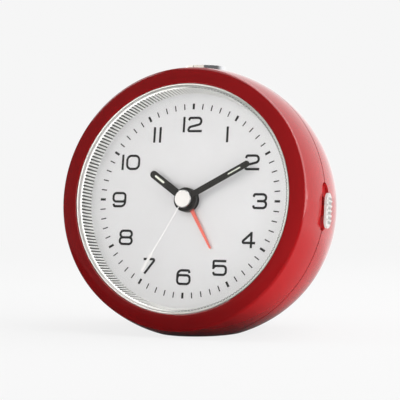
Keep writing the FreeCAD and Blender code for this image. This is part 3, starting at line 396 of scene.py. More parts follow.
@dataclass(frozen=True)
class DialSilver(Finish):
    """The dial's satin silver: a fine sprayed grain with slow cloudy changes of tone."""

    colour: Colour = (0.797, 0.757, 0.728)
    metallic: float = 0.3
    clouded: float = 0.965
    specked: float = 0.93
    speck_share: float = 0.35
    relief: Skin = Skin(Noise(7000.0, 2.0), 0.000003, (0.44, 0.56))
    cloud: Noise = Noise(22.0, 2.0, (0.25, 0.75))
    speck: Noise = Noise(2600.0, 1.0, (0.35, 0.75))

    def shade(self, graph: Graph) -> None:
        """Build the silver."""
        cloudy = graph.mix(graph.noise(self.cloud), self.colour, darker(self.colour, self.clouded))
        specks = graph.noise(self.speck) * self.speck_share
        tone = graph.mix(specks, cloudy, darker(self.colour, self.specked))
        graph.skin(self.relief, tone, Metallic=self.metallic)


@dataclass(frozen=True)
class RibbedSilver(Finish):
    """The dial ring's silver, with painted shade in its rib valleys and a front painted paler on the left.

    Levels are depths into a valley as shares of the ribs' depth. Lengths across are from the middle.
    """

    colour: Colour = (0.74, 0.74, 0.72)
    # Front tones: painted light on the left, painted shade towards the middle and the right
    front: Colour = (0.88, 0.88, 0.86)
    top_front: Colour = (0.60, 0.60, 0.585)
    far_front: Colour = (0.50, 0.51, 0.49)
    # Painted shade in the gaps between the teeth at the front
    bead: Colour = (0.12, 0.125, 0.12)
    # Painted shade in the rib valleys: dark on the left, paler from the middle to the right
    valley: Colour = (0.03, 0.03, 0.026)
    top_valley: Colour = (0.34, 0.34, 0.32)
    ribs: int = 200
    front_radius: float = 39.5 * MM
    foot_radius: float = 38.7 * MM
    wall_depth: float = 6.2 * MM
    rib_depth: float = 0.45 * MM
    wall_from: Pair = (-6.14 * MM, -6.08 * MM)
    left_fade: Pair = (2 * MM, 24 * MM)
    right_fade: Pair = (0.0, 25 * MM)
    bead_fade: Pair = (-6 * MM, 4 * MM)
    bead_turn: Pair = (0.04, 0.22)
    bead_levels: Pair = (1.5, 1.9)
    shadow_levels: Pair = (0.22, 0.7)
    foot_loss: float = 0.2
    past_levels: Pair = (1.3, 1.8)
    metallic: float = 0.2
    relief: Skin = Skin(Noise(4000.0, 2.0), 0.000003, (0.32, 0.44))

    def shade(self, graph: Graph) -> None:
        """Build the ribs' two tones."""
        across, depth, height = graph.dial_place()
        radius = (across * across + height * height) ** 0.5
        taper = (self.front_radius - self.foot_radius) / self.wall_depth
        crest = self.foot_radius - depth * taper
        into = (radius - crest) / self.rib_depth
        foot = depth / self.wall_depth + 1
        past = into.smooth(*self.past_levels)
        shadow = (into - foot * self.foot_loss).smooth(*self.shadow_levels) * (1 - past)
        on_wall = depth.smooth(*self.wall_from)
        # Where the painted tones shift from the lit left to the shaded middle and right
        painted_shade_shift = 1 - (0 - across).smooth(*self.left_fade)
        half_rib = 0.5
        fold = (height.turn(across) * (self.ribs / math.tau)).folded(half_rib)
        inside = 1 - into.smooth(*self.bead_levels)
        # Painted shade in the gaps between the teeth, on the right side
        bead_shade_mask = fold.smooth(*self.bead_turn) * inside * across.smooth(*self.bead_fade)
        left = graph.mix(painted_shade_shift, self.front, self.top_front)
        plain = graph.mix(across.smooth(*self.right_fade), left, self.far_front)
        front = graph.mix(bead_shade_mask, plain, self.bead)
        # Painted shade in the valleys
        valley = graph.mix(painted_shade_shift, self.valley, self.top_valley)
        wall = graph.mix(shadow, self.colour, valley)
        tone = graph.mix(on_wall * (1 - past), front, wall)
        graph.skin(self.relief, tone, Metallic=on_wall * self.metallic)


@dataclass(frozen=True)
class ClearLens(Finish):
    """Clear moulded plastic: see-through, with a gloss that grows towards its edges."""

    tint: Colour = (0.98, 0.98, 0.98)
    straight_on: float = 0.04
    edge_power: float = 5.0
    smoothest: float = 0.015
    spread: float = 0.04
    marks: Noise = Noise(35.0, 4.0, (0.45, 0.85))

    def shade(self, graph: Graph) -> None:
        """Build the lens."""
        roughness = graph.noise(self.marks) * self.spread + self.smoothest
        clear = graph.value("BsdfTransparent", {"Color": self.tint})
        gloss = graph.value("BsdfGlossy", {"Color": (1, 1, 1), "Roughness": roughness})
        facing = graph.value("LayerWeight", {"Blend": 0.5}, output="Facing")
        share = facing ** self.edge_power * (1 - self.straight_on) + self.straight_on
        graph.mixed(share, clear, gloss)


@dataclass(frozen=True)
class FrostedEdge(Finish):
    """The lens's frosted edge: creamy on the left, where it faces the light, with painted shade on the far
    side.
    """

    near: Colour = (0.93, 0.91, 0.86)
    far: Colour = (0.40, 0.42, 0.39)
    far_fade: Pair = (-5 * MM, 25 * MM)
    frost: Skin = Skin(Noise(2500.0), 0.000006, (0.3, 0.45))

    def shade(self, graph: Graph) -> None:
        """Build the frosting."""
        # Painted shade: the frosting turns dim towards the right
        far = graph.dial_place()[0].smooth(*self.far_fade)
        graph.skin(self.frost, graph.mix(far, self.near, self.far))


@dataclass(frozen=True)
class RidgedWhite(Moulded):
    """The slider's white plastic, with painted shade between its finger ridges.

    Ridges stand a pitch apart about the rise. Gap and end are distances in pitches.
    """

    rise: float = -2.05 * MM
    pitch: float = 1.7 * MM
    front: Pair = (7.0 * MM, 7.5 * MM)
    back: Pair = (10.2 * MM, 10.6 * MM)
    gap: Pair = (0.12, 0.34)
    end: Pair = (2.7, 2.9)
    shaded: float = 0.5

    def shade(self, graph: Graph) -> None:
        """Build the plastic with a soft painted shade below each ridge."""
        _, depth, height = graph.dial_place()
        step = (height - self.rise) / self.pitch
        half_step = 0.5
        # Painted shade below each ridge, across the ridged middle of the pad
        between = step.folded(half_step).smooth(*self.gap) * (1 - step.size().smooth(*self.end))
        across = depth.smooth(*self.front) * (1 - depth.smooth(*self.back))
        rough = (self.roughness, self.roughness + self.handling)
        skin = Skin(Noise(self.grain_per_metre), self.grain_depth, rough)
        graph.skin(skin, graph.mix(between * across, self.colour, darker(self.colour, self.shaded)))


@dataclass(frozen=True)
class Ink(Finish):
    """Printed ink with a faintly uneven edge of tone."""

    colour: Colour = (0.006, 0.006, 0.0065)
    thin: Colour = (0.0154, 0.0154, 0.01635)
    film: Skin = Skin(Noise(1800.0), 0.000003, (0.35, 0.55))
    patches: Noise = Noise(1800.0, 3.0, (0.35, 0.8))

    def shade(self, graph: Graph) -> None:
        """Build the ink."""
        graph.skin(self.film, graph.mix(graph.noise(self.patches), self.colour, self.thin))


@dataclass(frozen=True)
class Winding(Finish):
    """Enamelled copper wire, wound in fine turns along X, with painted shade in the grooves between turns."""

    groove: Colour = (0.20, 0.06, 0.02)
    crown: Colour = (0.62, 0.24, 0.10)
    turns_per_metre: float = 5000.0
    bands_per_scale: float = 3.18
    waver: float = 0.6
    metallic: float = 0.85
    smoothest: float = 0.25
    spread: float = 0.1
    turn_depth: float = 0.00003

    def shade(self, graph: Graph) -> None:
        """Build the turns of wire."""
        scale = self.turns_per_metre / self.bands_per_scale
        # Painted shade: the colour darkens in the grooves between turns
        turns = graph.waves("X", Scale=scale, Distortion=self.waver)
        graph.principled(
            Base_Color=graph.mix(turns, self.groove, self.crown),
            Metallic=self.metallic,
            Roughness=turns * self.spread + self.smoothest,
            Normal=graph.bump(turns, self.turn_depth),
        )


@dataclass(frozen=True)
class Board(Finish):
    """A lacquered circuit board with tracks and soldered pads."""

    lacquer: Colour = (0.012, 0.09, 0.035)
    track: Colour = (0.03, 0.19, 0.07)
    solder: Colour = (0.62, 0.60, 0.56)
    track_levels: Pair = (0.72, 0.8)
    pad_levels: Pair = (0.16, 0.2)
    pads_per_metre: float = 420.0
    pad_metallic: float = 0.9
    pad_roughness: float = 0.12
    roughness: float = 0.22
    relief: float = 0.00003

    def shade(self, graph: Graph) -> None:
        """Build the board."""
        wave = graph.waves("Z", Scale=130.0, Distortion=5.0, Detail=1.0, Detail_Scale=0.4)
        track = wave.smooth(*self.track_levels)
        spots = {"Vector": graph.place(), "Scale": self.pads_per_metre, "Randomness": 0.35}
        pad = 1 - graph.value("TexVoronoi", spots).smooth(*self.pad_levels)
        graph.principled(
            Base_Color=graph.mix(pad, graph.mix(track, self.lacquer, self.track), self.solder),
            Metallic=pad * self.pad_metallic,
            Roughness=pad * self.pad_roughness + self.roughness,
            Normal=graph.bump(track + pad, self.relief),
        )


@dataclass(frozen=True)
class CellSleeve(Finish):
    """The cell's printed sleeve, with bare metal at its ends and a band by the plus end."""

    body: Colour = (0.02, 0.045, 0.13)
    band: Colour = (0.72, 0.73, 0.74)
    scuffed: Colour = (0.25, 0.27, 0.3)
    bare: Colour = (0.70, 0.69, 0.66)
    half_length: float = 24.75 * MM
    band_length: float = 9.0 * MM
    bare_length: float = 0.6 * MM
    bare_metallic: float = 0.7
    metallic: float = 0.25
    scuff_share: float = 0.4
    scuff: Skin = Skin(Noise(300.0, 4.0, (0.45, 0.8)), 0.000008, (0.25, 0.4))

    def shade(self, graph: Graph) -> None:
        """Build the sleeve."""
        across = graph.dial_place()[0]
        bare = across.size().above(self.half_length - self.bare_length)
        banded = across.above(self.half_length - self.band_length)
        printed = graph.mix(banded, self.body, self.band)
        worn = graph.mix(graph.noise(self.scuff.noise) * self.scuff_share, printed, self.scuffed)
        metallic = bare * self.bare_metallic + self.metallic
        graph.skin(self.scuff, graph.mix(bare, worn, self.bare), Metallic=metallic)


RED = Moulded("gloss_red_plastic", (0.214, 0.0035, 0.0046), 0.07, 0.06, 700.0, 0.000006, 0.05)
CLEAR = ClearLens("clear_lens_plastic")
RING = RibbedSilver("ribbed_silver")
DIAL = DialSilver("dial_silver")
DARK_PAINT = Painted("hand_dark_paint", (0.020, 0.0195, 0.017), 0.42)
CORAL_PAINT = Painted("hand_coral_paint", (0.82, 0.165, 0.125), 0.45)
SILVER_PAINT = Painted("hand_silver_paint", (0.95, 0.95, 0.94), 0.35, 0.1)
CAP_WHITE = Painted("cap_satin_white", (0.82, 0.808, 0.785), 0.4, 0.1)
LUME = Moulded("lume_paint", (0.78, 0.80, 0.70), 0.65, 0.1, 5000.0, 0.00001, 0.12)
INK = Ink("black_ink")
CHROME = ButtonChrome("button_chrome", (0.90, 0.86, 0.79), 0.05, line_depth=0.0000004, marks=0.03)
CAP_CHROME = Metal("cap_chrome", (0.86, 0.86, 0.86), 0.1, line_depth=0.0000004, marks=0.04)
FROSTED = FrostedEdge("frosted_lens_edge")
WHITE = RidgedWhite("slider_white_plastic", (0.80, 0.79, 0.76), 0.32, 0.1, 2500.0, 0.000006)
# Copies of the red plastic with painted light: the recess's walls much paler than the shell, its floor a
# little paler
RECESS_WALL_PAINTED_LIGHT = Moulded("recess_wall_lit_red_plastic", (0.46, 0.008, 0.010), 0.5, 0.1, 900.0, 0.000008, 0.06)
RECESS_FLOOR_PAINTED_LIGHT = Moulded("recess_floor_lit_red_plastic", (0.30, 0.005, 0.007), 0.6, 0.1, 900.0, 0.000008, 0.06, 0.1)
# Painted shade: the seam's groove is painted dark
SEAM_SHADE = Moulded("seam_shaded_red_plastic", (0.13, 0.003, 0.004), 0.6, 0.1, 900.0, 0.000008, 0.05, 0.1)
# Painted light: the slider's white stem is painted bright red so that in its shade it looks like the recess
# around it
STEM_PAINTED_LIGHT = Moulded("slider_stem_painted_light", (0.78, 0.02, 0.02), 0.6, 0.1, 2500.0, 0.000006, 0.05, 0.1)
BLACK = Moulded("black_grained_plastic", (0.016, 0.016, 0.017), 0.42, 0.12, 1300.0, 0.00004, 0.2)
MOVEMENT = Moulded("movement_dark_plastic", (0.02, 0.02, 0.022), 0.5, 0.12, 1800.0, 0.00003, 0.2)
CARRIER = Moulded("carrier_pale_plastic", (0.72, 0.72, 0.68), 0.5, 0.1, 1600.0, 0.00002, 0.06)
GEAR = Moulded("wheel_natural_plastic", (0.80, 0.79, 0.71), 0.38, 0.1, 3000.0, 0.000006, 0.05)
STEEL = Metal("fastener_steel", (0.60, 0.61, 0.62), 0.3, (1, 6, 1), 0.000003, 0.15)
SPRING = Metal("plated_spring_metal", (0.76, 0.74, 0.69), 0.24, (1, 1, 12), 0.000002, 0.12)
COPPER = Winding("copper_winding")
BOARD = Board("circuit_board_green")
SLEEVE = CellSleeve("cell_sleeve")

INSIDE_LENS = ("dial", "dial_ring", "hour_hand", "minute_hand", "alarm_hand", "second_hand",
               "hour_lume", "minute_lume", "dial_numerals", "dial_minute_marks", "dial_bush")

NODE_FINISHES = {
    RED: ("front_shell", "rear_shell", "battery_door"),
    CLEAR: ("lens",),
    RING: ("dial_ring",),
    DIAL: ("dial",),
    DARK_PAINT: ("hour_hand", "minute_hand"),
    CORAL_PAINT: ("alarm_hand",),
    SILVER_PAINT: ("second_hand",),
    LUME: ("hour_lume", "minute_lume"),
    CHROME: ("snooze_button",),
    WHITE: ("alarm_slider",),
    BLACK: ("time_knob", "alarm_knob", "snooze_plunger"),
    MOVEMENT: ("movement_case_front", "movement_case_rear", "snooze_switch", "alarm_switch"),
    CARRIER: ("dial_carrier",),
    GEAR: ("alarm_wheel", "hour_wheel", "motion_wheel", "cannon_pinion", "clutch_wheel", "third_wheel",
           "seconds_wheel", "intermediate_wheel", "rotor", "time_set_arbor", "alarm_set_arbor"),
    STEEL: ("carrier_screws", "case_screws", "movement_screws", "stator", "quartz_crystal"),
    SPRING: ("battery_plus_contact", "battery_minus_contact", "sounder"),
    COPPER: ("coil",),
    BOARD: ("circuit_board",),
    SLEEVE: ("battery",),
}


# Modelling by operators


def pick(*pieces: Piece) -> None:
    """Leave edit mode and select these pieces alone, with the first one active."""
    if bpy.context.object and bpy.context.object.mode != "OBJECT":
        bpy.ops.object.mode_set(mode="OBJECT")
    bpy.ops.object.select_all(action="DESELECT")
    for piece in pieces:
        piece.select_set(True)
    if pieces:
        bpy.context.view_layer.objects.active = pieces[0]


def join(name: str, pieces: list[Piece]) -> Piece:
    """Join pieces into one object with this name."""
    pick(*pieces)
    bpy.ops.object.join()
    pieces[0].name = pieces[0].data.name = name
    return pieces[0]


def settle(piece: Piece, matrix: Matrix) -> None:
    """Put a piece in place and write its place into its mesh."""
    piece.matrix_world = matrix @ piece.matrix_world
    pick(piece)
    bpy.ops.object.transform_apply(location=True, rotation=True, scale=True)


def thicken(piece: Piece, height: float) -> None:
    """Raise flat work by a height towards the reader, as a closed body whose faces point outwards."""
    pick(piece)
    bpy.ops.object.mode_set(mode="EDIT")
    bpy.ops.mesh.select_all(action="SELECT")
    bpy.ops.mesh.extrude_region_move(TRANSFORM_OT_translate={"value": (0, 0, height)})
    bpy.ops.mesh.select_all(action="SELECT")
    bpy.ops.mesh.normals_make_consistent(inside=False)
    bpy.ops.object.mode_set(mode="OBJECT")


def modify(piece: Piece, kind: str, **settings: object) -> None:
    """Apply a modifier with these settings to a piece."""
    pick(piece)
    bpy.ops.object.modifier_add(type=kind)
    modifier = piece.modifiers[-1]
    for name, setting in settings.items():
        setattr(modifier, name, setting)
    bpy.ops.object.modifier_apply(modifier=modifier.name)


def rod(sides: int, radius: float, low: float, high: float, depth: float = 0.0) -> Piece:
    """Return a rod along Z from a low to a high end, this far back."""
    pick()
    bpy.ops.mesh.primitive_cylinder_add(
        vertices=sides, radius=radius, depth=high - low, location=(0, depth, (low + high) / 2))
    return bpy.context.object


@dataclass
class Pen:
    """A nib that draws a flat ribbon: its edge is carried along straight runs and spun round bends."""

    width: float
    steps_per_turn: int = 40
    least_run: float = 0.01
    _spot: Vector = field(default_factory=lambda: Vector((0, 0)), init=False)
    _heading: Vector = field(default_factory=lambda: Vector((1, 0)), init=False)

    def stroke(self, corners: list[Triple]) -> Piece:
        """Draw one stroke.

        Args:
            corners: X, Y and bend radius of each corner, in metres. The ends' radii aren't used.

        Returns:
            The ribbon, flat in the XY plane.
        """
        spots = [Vector(corner[:2]) for corner in corners]
        self._start(spots[0], (spots[1] - spots[0]).normalized())
        used = 0.0
        for index in range(1, len(spots)):
            run = (spots[index] - spots[index - 1]).length
            if index == len(spots) - 1:
                self._forward(run - used)
                break
            following = (spots[index + 1] - spots[index]).normalized()
            turn = self._heading.angle_signed(following) * -1
            radius = max(corners[index][2], self.width / 2)
            reach = radius * math.tan(abs(turn) / 2)
            self._forward(run - used - reach)
            self._bend(radius, turn)
            used = reach
        bpy.ops.object.mode_set(mode="OBJECT")
        return bpy.context.object

    def loop(self, corners: list[Triple]) -> Piece:
        """Draw one closed stroke, from the middle of its first side and back."""
        first, second = Vector(corners[0][:2]), Vector(corners[1][:2])
        middle = (first + second) / 2
        ends = (middle.x, middle.y, 0.0)
        return self.stroke([ends, *corners[1:], corners[0], ends])

    def _start(self, spot: Vector, heading: Vector) -> None:
        """Set the nib down across its heading."""
        pick()
        self._spot, self._heading = spot.copy(), heading.copy()
        centre = spot + heading * (self.width / 2)
        turn = math.atan2(heading.y, heading.x)
        bpy.ops.mesh.primitive_plane_add(size=self.width, location=(*centre, 0), rotation=(0, 0, turn))
        piece = bpy.context.object
        bpy.ops.object.mode_set(mode="EDIT")
        bpy.ops.mesh.select_mode(type="VERT")
        bpy.ops.mesh.select_all(action="DESELECT")
        bpy.ops.object.mode_set(mode="OBJECT")
        for vertex in piece.data.vertices:
            vertex.select = vertex.co.x > 0
        bpy.ops.object.mode_set(mode="EDIT")
        bpy.ops.mesh.delete(type="VERT")
        bpy.ops.mesh.select_all(action="SELECT")

    def _forward(self, length: float) -> None:
        """Carry the nib straight on."""
        if length < self.width * self.least_run:
            return
        step = self._heading * length
        bpy.ops.mesh.extrude_region_move(TRANSFORM_OT_translate={"value": (*step, 0)})
        self._spot += step

    def _bend(self, radius: float, turn: float) -> None:
        """Spin the nib round a bend; a positive turn is to the left."""
        left = Vector((-self._heading.y, self._heading.x)) * math.copysign(1, turn)
        centre = self._spot + left * radius
        steps = max(2, round(self.steps_per_turn * abs(turn) / math.tau))
        bpy.ops.mesh.spin(steps=steps, angle=-turn, center=(*centre, 0), axis=(0, 0, 1))
        spun = Matrix.Rotation(turn, 2)
        self._spot = centre + spun @ (self._spot - centre)
        self._heading = (spun @ self._heading).normalized()


# The printed dial


@dataclass
class DialPrint:
    """The numerals and the marks that are printed on the dial's face."""

    digit_shifts: ClassVar[dict[int, Pair]] = {
        10: (-3.2 * MM, 0.96 * MM), 11: (-1.15 * MM, 1.15 * MM), 12: (-3.4 * MM, 0.87 * MM)}
    cap_height: float = 4.85 * MM
    cap_width: float = 4.84 * MM
    stroke_width: float = 0.87 * MM
    film: float = 0.02 * MM
    numeral_circle: float = 27.6 * MM
    mark_circle: float = 34.2 * MM
    mark_length: float = 2.1 * MM
    hour_mark_width: float = 0.84 * MM
    minute_mark_width: float = 0.42 * MM
    soft: float = 1.2 * MM
    round: float = 1.7 * MM

    def digit(self, digit: str) -> list[tuple[bool, list[Triple]]]:
        """Return a digit's strokes, each as whether it closes, with its corners about the digit's middle.

        Args:
            digit: The digit.

        Returns:
            The strokes, with X, Y and bend radius for each corner, in metres.
        """
        if digit == "9":
            return [(closed, [(-a, -b, bend) for a, b, bend in corners])
                    for closed, corners in self.digit("6")]
        x, y, over = self.cap_width / 2, self.cap_height / 2, self.stroke_width / 2
        out, past, wide = 1 + over / x, 1 + over / y, self.round / self.soft
        # Corners in half widths and half heights of the digit, bends in soft ones
        strokes = {
            "0": [(True, [(-1, -1, wide), (1, -1, wide), (1, 1, wide), (-1, 1, wide)])],
            "1": [(False, [(0, -past, 0), (0, past, 0)])],
            "2": [(False, [(-1, 0.62, 0), (-0.86, 1, 0.4), (1, 1, 1), (1, 0.06, 1), (-1, -0.42, 1),
                           (-1, -1, 0), (out, -1, 0)])],
            "3": [(False, [(-1, 0.62, 0), (-0.86, 1, 0.4), (0.96, 1, 1), (0.96, 0, 1), (-0.42, 0, 0)]),
                  (False, [(-1, -0.62, 0), (-0.86, -1, 0.4), (1, -1, 1), (1, 0, 1), (-0.42, 0, 0)])],
            "4": [(False, [(0.53, -past, 0), (0.53, past, 0)]),
                  (False, [(0.53, 1, 0), (-1.06, -0.43, 0), (out, -0.43, 0)])],
            "5": [(False, [(1, 1, 0), (-1, 1, 0), (-1, -0.2, 0)]),
                  (False, [(-1, -0.02, 0), (-0.72, 0.28, 0.3), (1, 0.28, 1), (1, -1, 1), (-0.86, -1, 0.4),
                           (-1, -0.62, 0)])],
            "6": [(False, [(0.94, 0.62, 0), (0.8, 1, 0.4), (-1, 1, wide), (-1, -1, 1), (1, -1, 1),
                           (1, 0.28, 1), (-0.8, 0.28, 0.5), (-1, -0.1, 0)])],
            "7": [(False, [(-1, 1, 0), (0.93, 1, 0), (-0.74, -past, 0)])],
            "8": [(True, [(-0.95, 0, 1), (0.95, 0, 1), (0.95, 1, 1), (-0.95, 1, 1)]),
                  (True, [(-1, -1, 1), (1, -1, 1), (1, 0, 1), (-1, 0, 1)])],
        }
        return [(closed, [(a * x, b * y, bend * self.soft) for a, b, bend in corners])
                for closed, corners in strokes[digit]]

    def numeral(self, hour: int) -> list[Piece]:
        """Return the flat strokes of one hour's numeral, in its place on the dial."""
        shifts = self.digit_shifts.get(hour, (0.0,))
        turn = math.radians(30 * hour)
        middle = Vector((math.sin(turn), math.cos(turn))) * self.numeral_circle
        pen = Pen(self.stroke_width)
        drawn = []
        for digit, shift in zip(str(hour), shifts):
            for closed, corners in self.digit(digit):
                placed = [(a + middle.x + shift, b + middle.y, bend) for a, b, bend in corners]
                drawn.append(pen.loop(placed) if closed else pen.stroke(placed))
        return drawn

    def mark(self, minute: int) -> Piece:
        """Return one flat mark on the minute circle."""
        width = self.minute_mark_width if minute % 5 else self.hour_mark_width
        turn = math.radians(6 * minute)
        outward = Vector((math.sin(turn), math.cos(turn)))
        inner = outward * (self.mark_circle - self.mark_length / 2)
        outer = outward * (self.mark_circle + self.mark_length / 2)
        return Pen(width).stroke([(*inner, 0), (*outer, 0)])

    def build(self) -> list[Piece]:
        """Print the dial and return its two pieces."""
        numerals = [stroke for hour in range(1, 13) for stroke in self.numeral(hour)]
        marks = [self.mark(minute) for minute in range(60)]
        pieces = [join("dial_numerals", numerals), join("dial_minute_marks", marks)]
        for piece in pieces:
            settle(piece, Matrix.Identity(4))
            thicken(piece, self.film)
            settle(piece, axis.dial_face())
            INK.put_on(piece)
            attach(piece, "case")
        return pieces


# Nodes with more than one finish


@dataclass(frozen=True)
class FaceSpot:
    """A face's middle in the clock's own frame, and how far it looks to the back, from -1 to 1."""

    middle: Vector
    facing: float

    @property
    def radius(self) -> float:
        """Return how far the face is from the case's axis."""
        return math.hypot(self.middle.x, self.middle.z)


def paint_faces(name: str, added: tuple[Finish, ...], slot_of: Callable[[FaceSpot], int]) -> None:
    """Give some of a node's faces other finishes.

    Args:
        name: The node's name.
        added: The finishes that follow the node's own one in its material slots.
        slot_of: Returns the material slot of a face.
    """
    mesh = frame["nodes"][name].data
    for finish in added:
        mesh.materials.append(finish.material())
    inverse = axis.matrix().inverted()
    for face in mesh.polygons:
        face.material_index = slot_of(FaceSpot(inverse @ face.center, face.normal.dot(axis.direction)))


@dataclass
class LensRim:
    """The edge of the lens, which is frosted where it sits in the case."""

    frosted_from: float = 40.55 * MM
    flat: float = 0.99

    def slot_of(self, spot: FaceSpot) -> int:
        """Return 1 at the lens's edge, else 0."""
        return int(spot.radius > self.frosted_from and abs(spot.facing) <= self.flat)

    def dress(self) -> None:
        """Frost the faces at the lens's edge."""
        paint_faces("lens", (FROSTED,), self.slot_of)


@dataclass
class SecondHand:
    """The thin second hand with its satin cap and the cap's polished edge."""

    face_radius: float = 2.95 * MM
    cap_radius: float = 3.25 * MM

    def slot_of(self, spot: FaceSpot) -> int:
        """Return 1 on the cap's face, 2 on the cap's edge and 0 on the blade."""
        if spot.radius < self.face_radius:
            return 1
        return 2 if spot.radius < self.cap_radius else 0

    def dress(self) -> None:
        """Give the cap's face and the cap's edge their own finishes."""
        paint_faces("second_hand", (CAP_WHITE, CAP_CHROME), self.slot_of)


@dataclass
class SeamAndRecess:
    """Where the case's shells meet: the seam's groove, the slider's recess and the slider's stem in it."""

    parting_depth: float = 8.3 * MM
    groove: float = 0.36 * MM
    groove_foot: float = 48.0 * MM
    groove_facing: float = 0.3
    half_width: float = 3.6 * MM
    half_length: float = 10.5 * MM
    rise: float = -0.6 * MM
    wall_facing: float = 0.5
    floor_radius: float = 48.35 * MM
    pad_from: float = 49.5 * MM

    def slot_of(self, spot: FaceSpot) -> int:
        """Return 0 on the plain shell, 1 on the recess's walls, 2 on its floor and 3 in the seam."""
        from_seam = abs(spot.middle.y - self.parting_depth)
        in_length = spot.middle.x > 0 and abs(spot.middle.z - self.rise) < self.half_length
        in_recess = in_length and from_seam < self.half_width
        facing = abs(spot.facing)
        if in_recess and facing > self.wall_facing and from_seam > 2 * self.groove:
            return 1
        if in_recess and spot.radius < self.floor_radius:
            return 2
        in_groove = from_seam < self.groove and spot.radius > self.groove_foot
        return 3 if in_groove and facing > self.groove_facing else 0

    def dress(self) -> None:
        """Give the seam its painted shade, the recess's walls and floor their painted light and the slider's
        stem its painted red light.
        """
        for name in ("front_shell", "rear_shell"):
            paint_faces(name, (RECESS_WALL_PAINTED_LIGHT, RECESS_FLOOR_PAINTED_LIGHT, SEAM_SHADE), self.slot_of)
        paint_faces("alarm_slider", (STEM_PAINTED_LIGHT,), lambda spot: int(spot.middle.x < self.pad_from))


# Pieces that only the scene has


@dataclass
class TopButton:
    """The chromed button on top: a disc under a dome that rises to the back, its flange and its stem."""

    centre_depth: float = 8.3 * MM
    radius: float = 7.2 * MM
    flange_radius: float = 8.2 * MM
    flange_top: float = 46.28 * MM
    flange_low: float = 45.28 * MM
    stem_radius: float = 2.0 * MM
    stem_low: float = 41.5 * MM
    dome_radius: float = 60.0 * MM
    apex: float = 51.2 * MM
    apex_shift: float = 6.0 * MM
    edge_round: float = 0.45 * MM
    edge_angle: float = math.radians(40)
    smooth_angle: float = math.radians(30)
    margin: float = 2 * MM
    sides: int = 128

    def cap(self) -> Piece:
        """Return the cap: a rod cut by the dome, with a rounded edge."""
        cap = rod(self.sides, self.radius, self.flange_top, self.apex + self.margin, self.centre_depth)
        pick()
        bpy.ops.mesh.primitive_uv_sphere_add(
            segments=96, ring_count=192, radius=self.dome_radius,
            location=(0, self.centre_depth + self.apex_shift, self.apex - self.dome_radius))
        dome = bpy.context.object
        modify(cap, "BOOLEAN", operation="INTERSECT", solver="EXACT", object=dome)
        modify(cap, "BEVEL", width=self.edge_round, segments=5, limit_method="ANGLE",
               angle_limit=self.edge_angle)
        pick(dome)
        bpy.ops.object.delete()
        return cap

    def build(self) -> Piece:
        """Make the button in its place."""
        flange = (self.flange_radius, self.flange_low, self.flange_top)
        stem = (self.stem_radius, self.stem_low, self.flange_low)
        pieces = [self.cap(), *(rod(self.sides, *size, self.centre_depth) for size in (flange, stem))]
        for piece in pieces:
            settle(piece, axis.matrix())
        button = join("top_button", pieces)
        pick(button)
        bpy.ops.object.shade_smooth_by_angle(angle=self.smooth_angle)
        CHROME.put_on(button)
        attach(button, "snooze")
        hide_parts("snooze_button")
        return button


@dataclass
class DialBush:
    """The thin black bush on the dial that the hands' arbors come through."""

    radius: float = 4.36 * MM
    height: float = 0.2 * MM
    edge_round: float = 0.08 * MM

    def build(self) -> Piece:
        """Make the bush in its place."""
        bush = rod(96, self.radius, 0.0, self.height)
        bush.name = bush.data.name = "dial_bush"
        modify(bush, "BEVEL", width=self.edge_round, segments=3)
        settle(bush, axis.dial_face())
        DARK_PAINT.put_on(bush)
        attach(bush, "case")
        return bush


# Studio


@dataclass(frozen=True)
class FloorFinish(Finish):
    """A matt floor that looks as pale as the backdrop, keeps its shadow and is paler behind in the gloss."""

    colour: Colour = (0.78, 0.78, 0.78)
    flecked: float = 0.985
    fleck: Noise = Noise(900.0)
    near: Colour = (0.92, 0.92, 0.92)
    far: Colour = (PALE, PALE, PALE)
    reach: Pair = (0.15, 0.6)
    shown: float = 0.9
    in_front: Colour = (0.06, 0.06, 0.06)
    behind: Pair = (-0.05, -0.012)
    mirrored: tuple[Pair, ...] = ((0.0, 0.03), (0.067, 0.05), (0.1, 0.11), (0.147, 0.21), (0.2, 0.33),
                                  (0.3, 0.47), (0.467, 0.60), (0.667, 0.85), (0.82, 1.0))
    mirrored_reach: float = 0.3
    mirrored_centre: Triple = (0.0, -0.02, 0.0)

    def distance(self, graph: Graph, centre: Triple = (0.0, 0.0, 0.0)) -> Value:
        """Return how far a point of the floor is from this spot."""
        ends = {0: graph.place(), 1: centre}
        return graph.value("VectorMath", ends, {"operation": "DISTANCE"}, "Value")

    def mirror(self, graph: Graph) -> Value:
        """Return the floor's tone as the clock's gloss mirrors it."""
        share = self.distance(graph, self.mirrored_centre) / self.mirrored_reach
        ramp = graph.node("ValToRGB", {0: share})
        stops = ramp.color_ramp.elements
        while len(stops) < len(self.mirrored):
            stops.new(0.5)
        for stop, (place, level) in zip(stops, self.mirrored):
            stop.position = place
            stop.color = (level, level, level, 1)
        tone = Value(graph, ramp.outputs[0])
        return graph.mix(graph.parts(graph.place())[1].smooth(*self.behind), self.in_front, tone)

    def shade(self, graph: Graph) -> None:
        """Build the floor."""
        tone = graph.mix(graph.noise(self.fleck), self.colour, darker(self.colour, self.flecked))
        rough = graph.value("BsdfDiffuse", {"Color": tone, "Roughness": 0.5})
        far = self.distance(graph).smooth(*self.reach)
        direct, gloss = graph.ray("Camera"), graph.ray("Glossy")
        seen = graph.mix(gloss, graph.mix(far, self.near, self.far), self.mirror(graph))
        glow = graph.value("Emission", {"Color": seen, "Strength": 1.0})
        graph.mixed(direct * (far * (1 - self.shown) + self.shown) + gloss, rough, glow)


def way_to(azimuth: float, elevation: float) -> Vector:
    """Return the direction this many degrees to the reader's right of straight ahead and this high."""
    around, up = math.radians(azimuth), math.radians(elevation)
    return Vector((math.sin(around) * math.cos(up), -math.cos(around) * math.cos(up), math.sin(up)))


def lamp_spot(azimuth: float, elevation: float, distance: float) -> Vector:
    """Return the spot in this direction and this far, in metres, from the middle of the dial."""
    return axis.centre + way_to(azimuth, elevation) * distance


